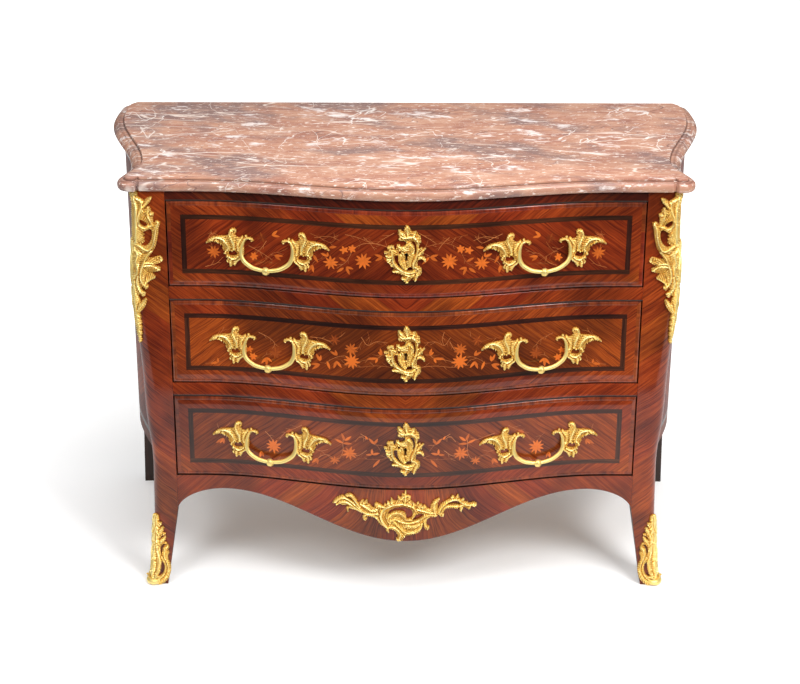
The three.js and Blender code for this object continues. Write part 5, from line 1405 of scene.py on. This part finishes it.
def scatter_tree():
    """Sets a pattern on every point, turned and stretched by the point's own turn and size."""
    tree = bpy.data.node_groups.new("pattern on points", "GeometryNodeTree")
    tree.interface.new_socket("Geometry", in_out="OUTPUT", socket_type="NodeSocketGeometry")
    _, pattern, finish = [tree.interface.new_socket(name, in_out="INPUT", socket_type=kind).identifier
                          for name, kind in (("Points", "NodeSocketGeometry"), ("Pattern", "NodeSocketObject"),
                                             ("Finish", "NodeSocketMaterial"))]
    given = add(tree, "NodeGroupInput")
    turn, size = [add(tree, "GeometryNodeInputNamedAttribute", {"Name": label}, data_type="FLOAT_VECTOR")
                  for label in ("turn", "size")]
    shape = add(tree, "GeometryNodeObjectInfo", {"Object": given.outputs["Pattern"]}).outputs["Geometry"]
    set_on = add(tree, "GeometryNodeInstanceOnPoints", {
        "Points": given.outputs["Points"], "Instance": shape, "Rotation": turn, "Scale": size})
    solid = add(tree, "GeometryNodeRealizeInstances", {"Geometry": set_on})
    finished = add(tree, "GeometryNodeSetMaterial", {"Geometry": solid, "Material": given.outputs["Finish"]})
    add(tree, "NodeGroupOutput", {"Geometry": finished})
    return tree, pattern, finish


SCATTER, SCATTER_PATTERN, SCATTER_FINISH = scatter_tree()


def scattered(name, pattern, finish, places, turns, sizes, tones):
    """The mesh of a pattern set by the scatter tree at each place, which is across and up in mm; each copy keeps
    its turn and its tone."""
    host = in_scene(name, mesh_of(name, np.column_stack([np.array(places) * MM, np.zeros(len(places))])))
    keep(host.data, "turn", np.column_stack([np.zeros((len(places), 2)), turns]))
    keep(host.data, "size", sizes)
    keep(host.data, "tone", tones)
    bpy.context.scene.collection.objects.link(pattern)
    modifier = host.modifiers.new("copies", "NODES")
    modifier.node_group = SCATTER
    modifier[SCATTER_PATTERN], modifier[SCATTER_FINISH] = pattern, finish
    mesh = bpy.data.meshes.new_from_object(host.evaluated_get(bpy.context.evaluated_depsgraph_get()))
    bpy.context.scene.collection.objects.unlink(pattern)
    bpy.data.objects.remove(host)
    mesh.name = name
    return mesh


def lay_out(mesh, place):
    """Moves the points of a flat mesh: place turns across, up and out to x, depth and z, in mm."""
    spots = np.zeros(len(mesh.vertices) * 3, np.float32)
    mesh.vertices.foreach_get("co", spots)
    across, up, out = spots.reshape(-1, 3).T / MM
    mesh.vertices.foreach_set("co", from_wall(*place(across, up, out)).astype(np.float32).ravel())
    turn_outward(mesh)
    return np.stack([across, up], 1)


def petals(name, middle, pattern):
    """The flowers and leaves of a drawer, let into its curved front and standing a hair proud."""
    def let_in(across, up, out):
        copy = np.arange(len(across)) // (len(across) // len(rows))
        out = np.where(out > 0, out + COPY_RISE * (copy % COPY_LEVELS), out)
        return across, front_depth(across, middle + up) + out, middle + up

    rows = petal_rows(name)
    sizes = np.column_stack([rows[:, 4] * MM, rows[:, 3] * MM, np.ones(len(rows))])
    mesh = scattered(f"inlaid_petals_{name}", pattern, PETAL_WOOD, rows[:, :2], rows[:, 2], sizes, rows[:, 5])
    flat = lay_out(mesh, let_in)
    first = [face.vertices[0] for face in mesh.polygons]
    turns, tones = mesh.attributes["turn"].data, mesh.attributes["tone"].data
    piece = in_scene(mesh.name, mesh)
    lay_grain(piece, flat, [-math.degrees(turns[spot].vector[2]) for spot in first],
              [tones[spot].value for spot in first])
    finish_piece(piece, f"drawer_{name}", "veneer")


def stalks(name, middle):
    """Thin curving stalks with side twigs, as strips of lighter wood."""
    chance = random.Random(f"stalks {name}")
    lines = []
    for spots in STALKS[name]:
        line = curve(on_panel(name, spots), spacing=2.5)
        lines.append((line, 1.0))
        for k in range(4, len(line) - 2, TWIG_EVERY):
            ahead = line[k + 1] - line[k - 1]
            turn = math.atan2(ahead[1], ahead[0]) + chance.choice((-1, 1)) * chance.uniform(0.5, 0.9)
            length, bend = chance.uniform(7, 17), chance.uniform(-0.04, 0.04)
            twig = [line[k]]
            for _ in range(int(length / TWIG_STEP)):
                twig.append(twig[-1] + TWIG_STEP * np.array([math.cos(turn), math.sin(turn)]))
                turn += bend
            lines.append((np.array(twig), TWIG_WIDTH))
    parts = []
    for number, (line, width) in enumerate(lines):
        for sign in (1, -1):
            path = line * (sign, 1)
            ahead = np.gradient(path, axis=0)
            side = np.stack([-ahead[:, 1], ahead[:, 0]], 1) / np.linalg.norm(ahead, axis=1)[:, None]
            taper = width * (1 - STALK_TAPER * np.linspace(0, 1, len(path)))[:, None] / 2
            proud = INLAY_PROUD - STALK_DROP - STALK_RISE * (number % STALK_LEVELS)
            rings = [[(*(spot - off), -INLAY_DEEP), (*(spot + off), -INLAY_DEEP), (*(spot + off), proud),
                      (*(spot - off), proud)] for spot, off in zip(path, side * taper)]
            points, faces = through_rings(rings)
            parts.append((points, faces, np.full(len(points), chance.random())))
    points, faces, tone = together(parts)
    across, up, out = points.T
    placed = np.stack([across, front_depth(across, middle + up) + out, middle + up], 1)
    piece = build(f"inlaid_stalks_{name}", placed, faces, [LEAF_WOOD])
    lay_grain(piece, points[:, :2], STALK_GRAIN, [tone[face[0]] for face in faces])
    finish_piece(piece, f"drawer_{name}", "veneer")


petal = petal_pattern()
for name, middle in DRAWERS.items():
    petals(name, middle, petal)
    stalks(name, middle)
bpy.data.objects.remove(petal)


# Small fixings inside the drawers, seen when they are open

POST = 68  # of a pull, from its middle
NUT_WIDTH, NUT_HIGH, NUT_TOP, WASHER_WIDTH, WASHER_HIGH = 5.2 * 1.3, 4.0, 5.2, 8.0, 1.0
NUT = [(WASHER_WIDTH, 0), (WASHER_WIDTH, WASHER_HIGH), (NUT_WIDTH, WASHER_HIGH),
       (NUT_WIDTH, WASHER_HIGH + NUT_HIGH - 1), (NUT_TOP, WASHER_HIGH + NUT_HIGH)]
SCREW, SLOT_HALF, SLOT_DEPTH, SCREW_INSET = [(3.4, 0), (3.4, 0.5), (1.7, 1.5)], 0.8, 0.6, 6
NUT_CLEAR, SCREW_CLEAR = 0.4, 0.1


def iron_heads(name, drawer, outline, sides, slot, places, turns, lie):
    """Filed heads, from rings of (radius, height) with a slot across the top, at flat places in a drawer."""
    around = (np.arange(sides) + 0.5) * 2 * math.pi / sides
    rings = [np.stack([radius * np.cos(around), radius * np.sin(around), np.full(sides, height)], 1)
             for radius, height in outline]
    rings[-1][:, 2] -= np.where(np.abs(rings[-1][:, 1]) < slot, SLOT_DEPTH, 0)
    head = pattern_of(f"head_of_{name}", np.array(rings) * MM)
    mesh = scattered(name, head, IRON, places, turns, np.ones((len(places), 3)), np.ones(len(places)))
    lay_out(mesh, lie)
    finish_piece(in_scene(mesh.name, mesh), f"drawer_{drawer}", "steel")
    bpy.data.objects.remove(head)


def pull_nuts(name, middle):
    """A square nut on a washer behind each post of the pulls."""
    places = [(sign * HANDLE_MIDDLE + post, -HANDLE_DROP) for sign in (-1, 1) for post in (-POST, POST)]
    iron_heads(f"pull_nuts_{name}", name, NUT, 4, 0, places, [0.3 + 0.5 * k for k in range(4)],
               lambda across, up, out: (across, front_depth(across, middle + up) - FRONT_THICK - NUT_CLEAR - out,
                                        middle + up))


def lock_screws(name):
    """A slotted screw at each corner of the lock's case."""
    corners = np.array([vertex.co[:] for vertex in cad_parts[f"lock_case_{name}"].data.vertices]) / MM
    low, high = corners.min(0) + SCREW_INSET, corners.max(0) - SCREW_INSET
    face = WALL - corners.max(0)[1] - SCREW_CLEAR
    places = [(x, z) for x in (low[0], high[0]) for z in (low[2], high[2])]
    iron_heads(f"lock_screws_{name}", name, SCREW, 16, SLOT_HALF, places, [0.4 + 0.7 * k for k in range(4)],
               lambda across, up, out: (across, face - out, up))


for name, middle in DRAWERS.items():
    pull_nuts(name, middle)
    lock_screws(name)


# Camera, floor and light

YAW, PITCH, ROLL = 0.00635, 0.4495, 0.00497  # the photograph's viewpoint: turned, pitched down, rolled a touch
CAMERA_AT, FOCAL_PIXELS, PICTURE_PIXELS, SENSOR = (-0.0343, -3.854, 2.307), 2106.5, 800, 36
SHEET_HALF, SHEET_FRONT, SHEET_BACK = 2.6, -1.15, 4
LAMPS = (  # name, place, width, height, watts
    ("overhead", (0.2, -0.8, 3.4), 2.4, 1.3, 44),
    ("front_left", (-2.1, -2.6, 3.5), 1.3, 1.3, 52),
    ("front_right", (2.1, -2.5, 3.4), 1.5, 1.5, 135),
)
LAMPS_AIM = (0, 0, 0.5)


def camera():
    ahead = Vector((math.sin(YAW) * math.cos(PITCH), math.cos(YAW) * math.cos(PITCH), -math.sin(PITCH)))
    level = Vector((math.cos(YAW), -math.sin(YAW), 0))
    upright = level.cross(ahead)
    right = math.cos(ROLL) * level + math.sin(ROLL) * upright
    up = math.cos(ROLL) * upright - math.sin(ROLL) * level
    lens = bpy.data.cameras.new("camera")
    lens.sensor_width, lens.lens = SENSOR, SENSOR * FOCAL_PIXELS / PICTURE_PIXELS
    seat = in_scene("camera", lens)
    seat.matrix_world = Matrix.Translation(CAMERA_AT) @ Matrix((right, up, -ahead)).transposed().to_4x4()
    bpy.context.scene.camera = seat


def floor_sheet():
    """A white sheet under and behind takes the chest's shadow, with a painted shade round the chest where it glows less
    for the camera; it ends in front, where the studio is dark.
    """
    corners = [(-SHEET_HALF, SHEET_FRONT, 0), (SHEET_HALF, SHEET_FRONT, 0), (SHEET_HALF, SHEET_BACK, 0),
               (-SHEET_HALF, SHEET_BACK, 0)]
    floor = in_scene("floor_sheet", mesh_of("floor_sheet", corners, [(0, 1, 2, 3)]))
    paper, tree = new_material("white_seamless_paper")
    rays = add(tree, "LightPath")
    spot = add(tree, "TexCoord").outputs["Object"]
    fibre = add(tree, "TexNoise", {"Vector": spot, "Scale": 60.0})
    white = add(tree, "ValToRGB", {"Fac": fibre}, stops=[(0.3, "f3f3f3"), (0.7, "f7f7f7")])
    sheet = add(tree, "BsdfDiffuse", {"Color": white})
    # painted shade: the glow seen by the camera is weak near the chest and full further off
    apart = add(tree, "VectorMath", {0: spot, 1: (0, 0.1, 0)}, operation="DISTANCE").outputs["Value"]
    painted_shade_glow = add(tree, "MapRange", {0: apart, 1: 0.5, 2: 1.5, 3: 0.12, 4: 0.75})
    glow = add(tree, "Emission", {"Color": tint("ffffff"), "Strength": painted_shade_glow})
    lifted = add(tree, "AddShader", {0: sheet, 1: glow})
    add(tree, "OutputMaterial", {"Surface": add(tree, "MixShader", {
        0: rays.outputs["Is Camera Ray"], 1: sheet, 2: lifted})})
    floor.data.materials.append(paper)


def studio_light():
    world = bpy.data.worlds.new("studio")
    world.use_nodes = True
    tree = world.node_tree
    tree.nodes.clear()
    rays = add(tree, "LightPath")
    seen = add(tree, "Math", {0: rays.outputs["Is Camera Ray"], 1: rays.outputs["Is Transmission Ray"]},
               operation="MAXIMUM")
    height = add(tree, "SeparateXYZ", {0: add(tree, "TexCoord").outputs["Generated"]}).outputs["Z"]
    room = add(tree, "MapRange", {0: height, 1: -0.2, 2: 0.7, 3: 0.1, 4: 0.55})
    mirrored = add(tree, "MapRange", {0: rays.outputs["Is Glossy Ray"], 3: 1.0, 4: 0.45})
    dimmed = add(tree, "Math", {0: room, 1: mirrored}, operation="MULTIPLY")
    strength = add(tree, "Math", {0: dimmed, 1: seen}, operation="MAXIMUM")
    add(tree, "OutputWorld", {"Surface": add(tree, "Background", {"Color": tint("ffffff"), "Strength": strength})})
    bpy.context.scene.world = world
    for name, place, width, height, watts in LAMPS:
        light = bpy.data.lights.new(name, "AREA")
        light.shape, light.size, light.size_y, light.energy = "RECTANGLE", width, height, watts
        turn = (Vector(LAMPS_AIM) - Vector(place)).to_track_quat("-Z", "Y").to_matrix().to_4x4()
        in_scene(name, light).matrix_world = Matrix.Translation(place) @ turn


bpy.context.scene.view_settings.view_transform = "Standard"
camera()
floor_sheet()
studio_light()
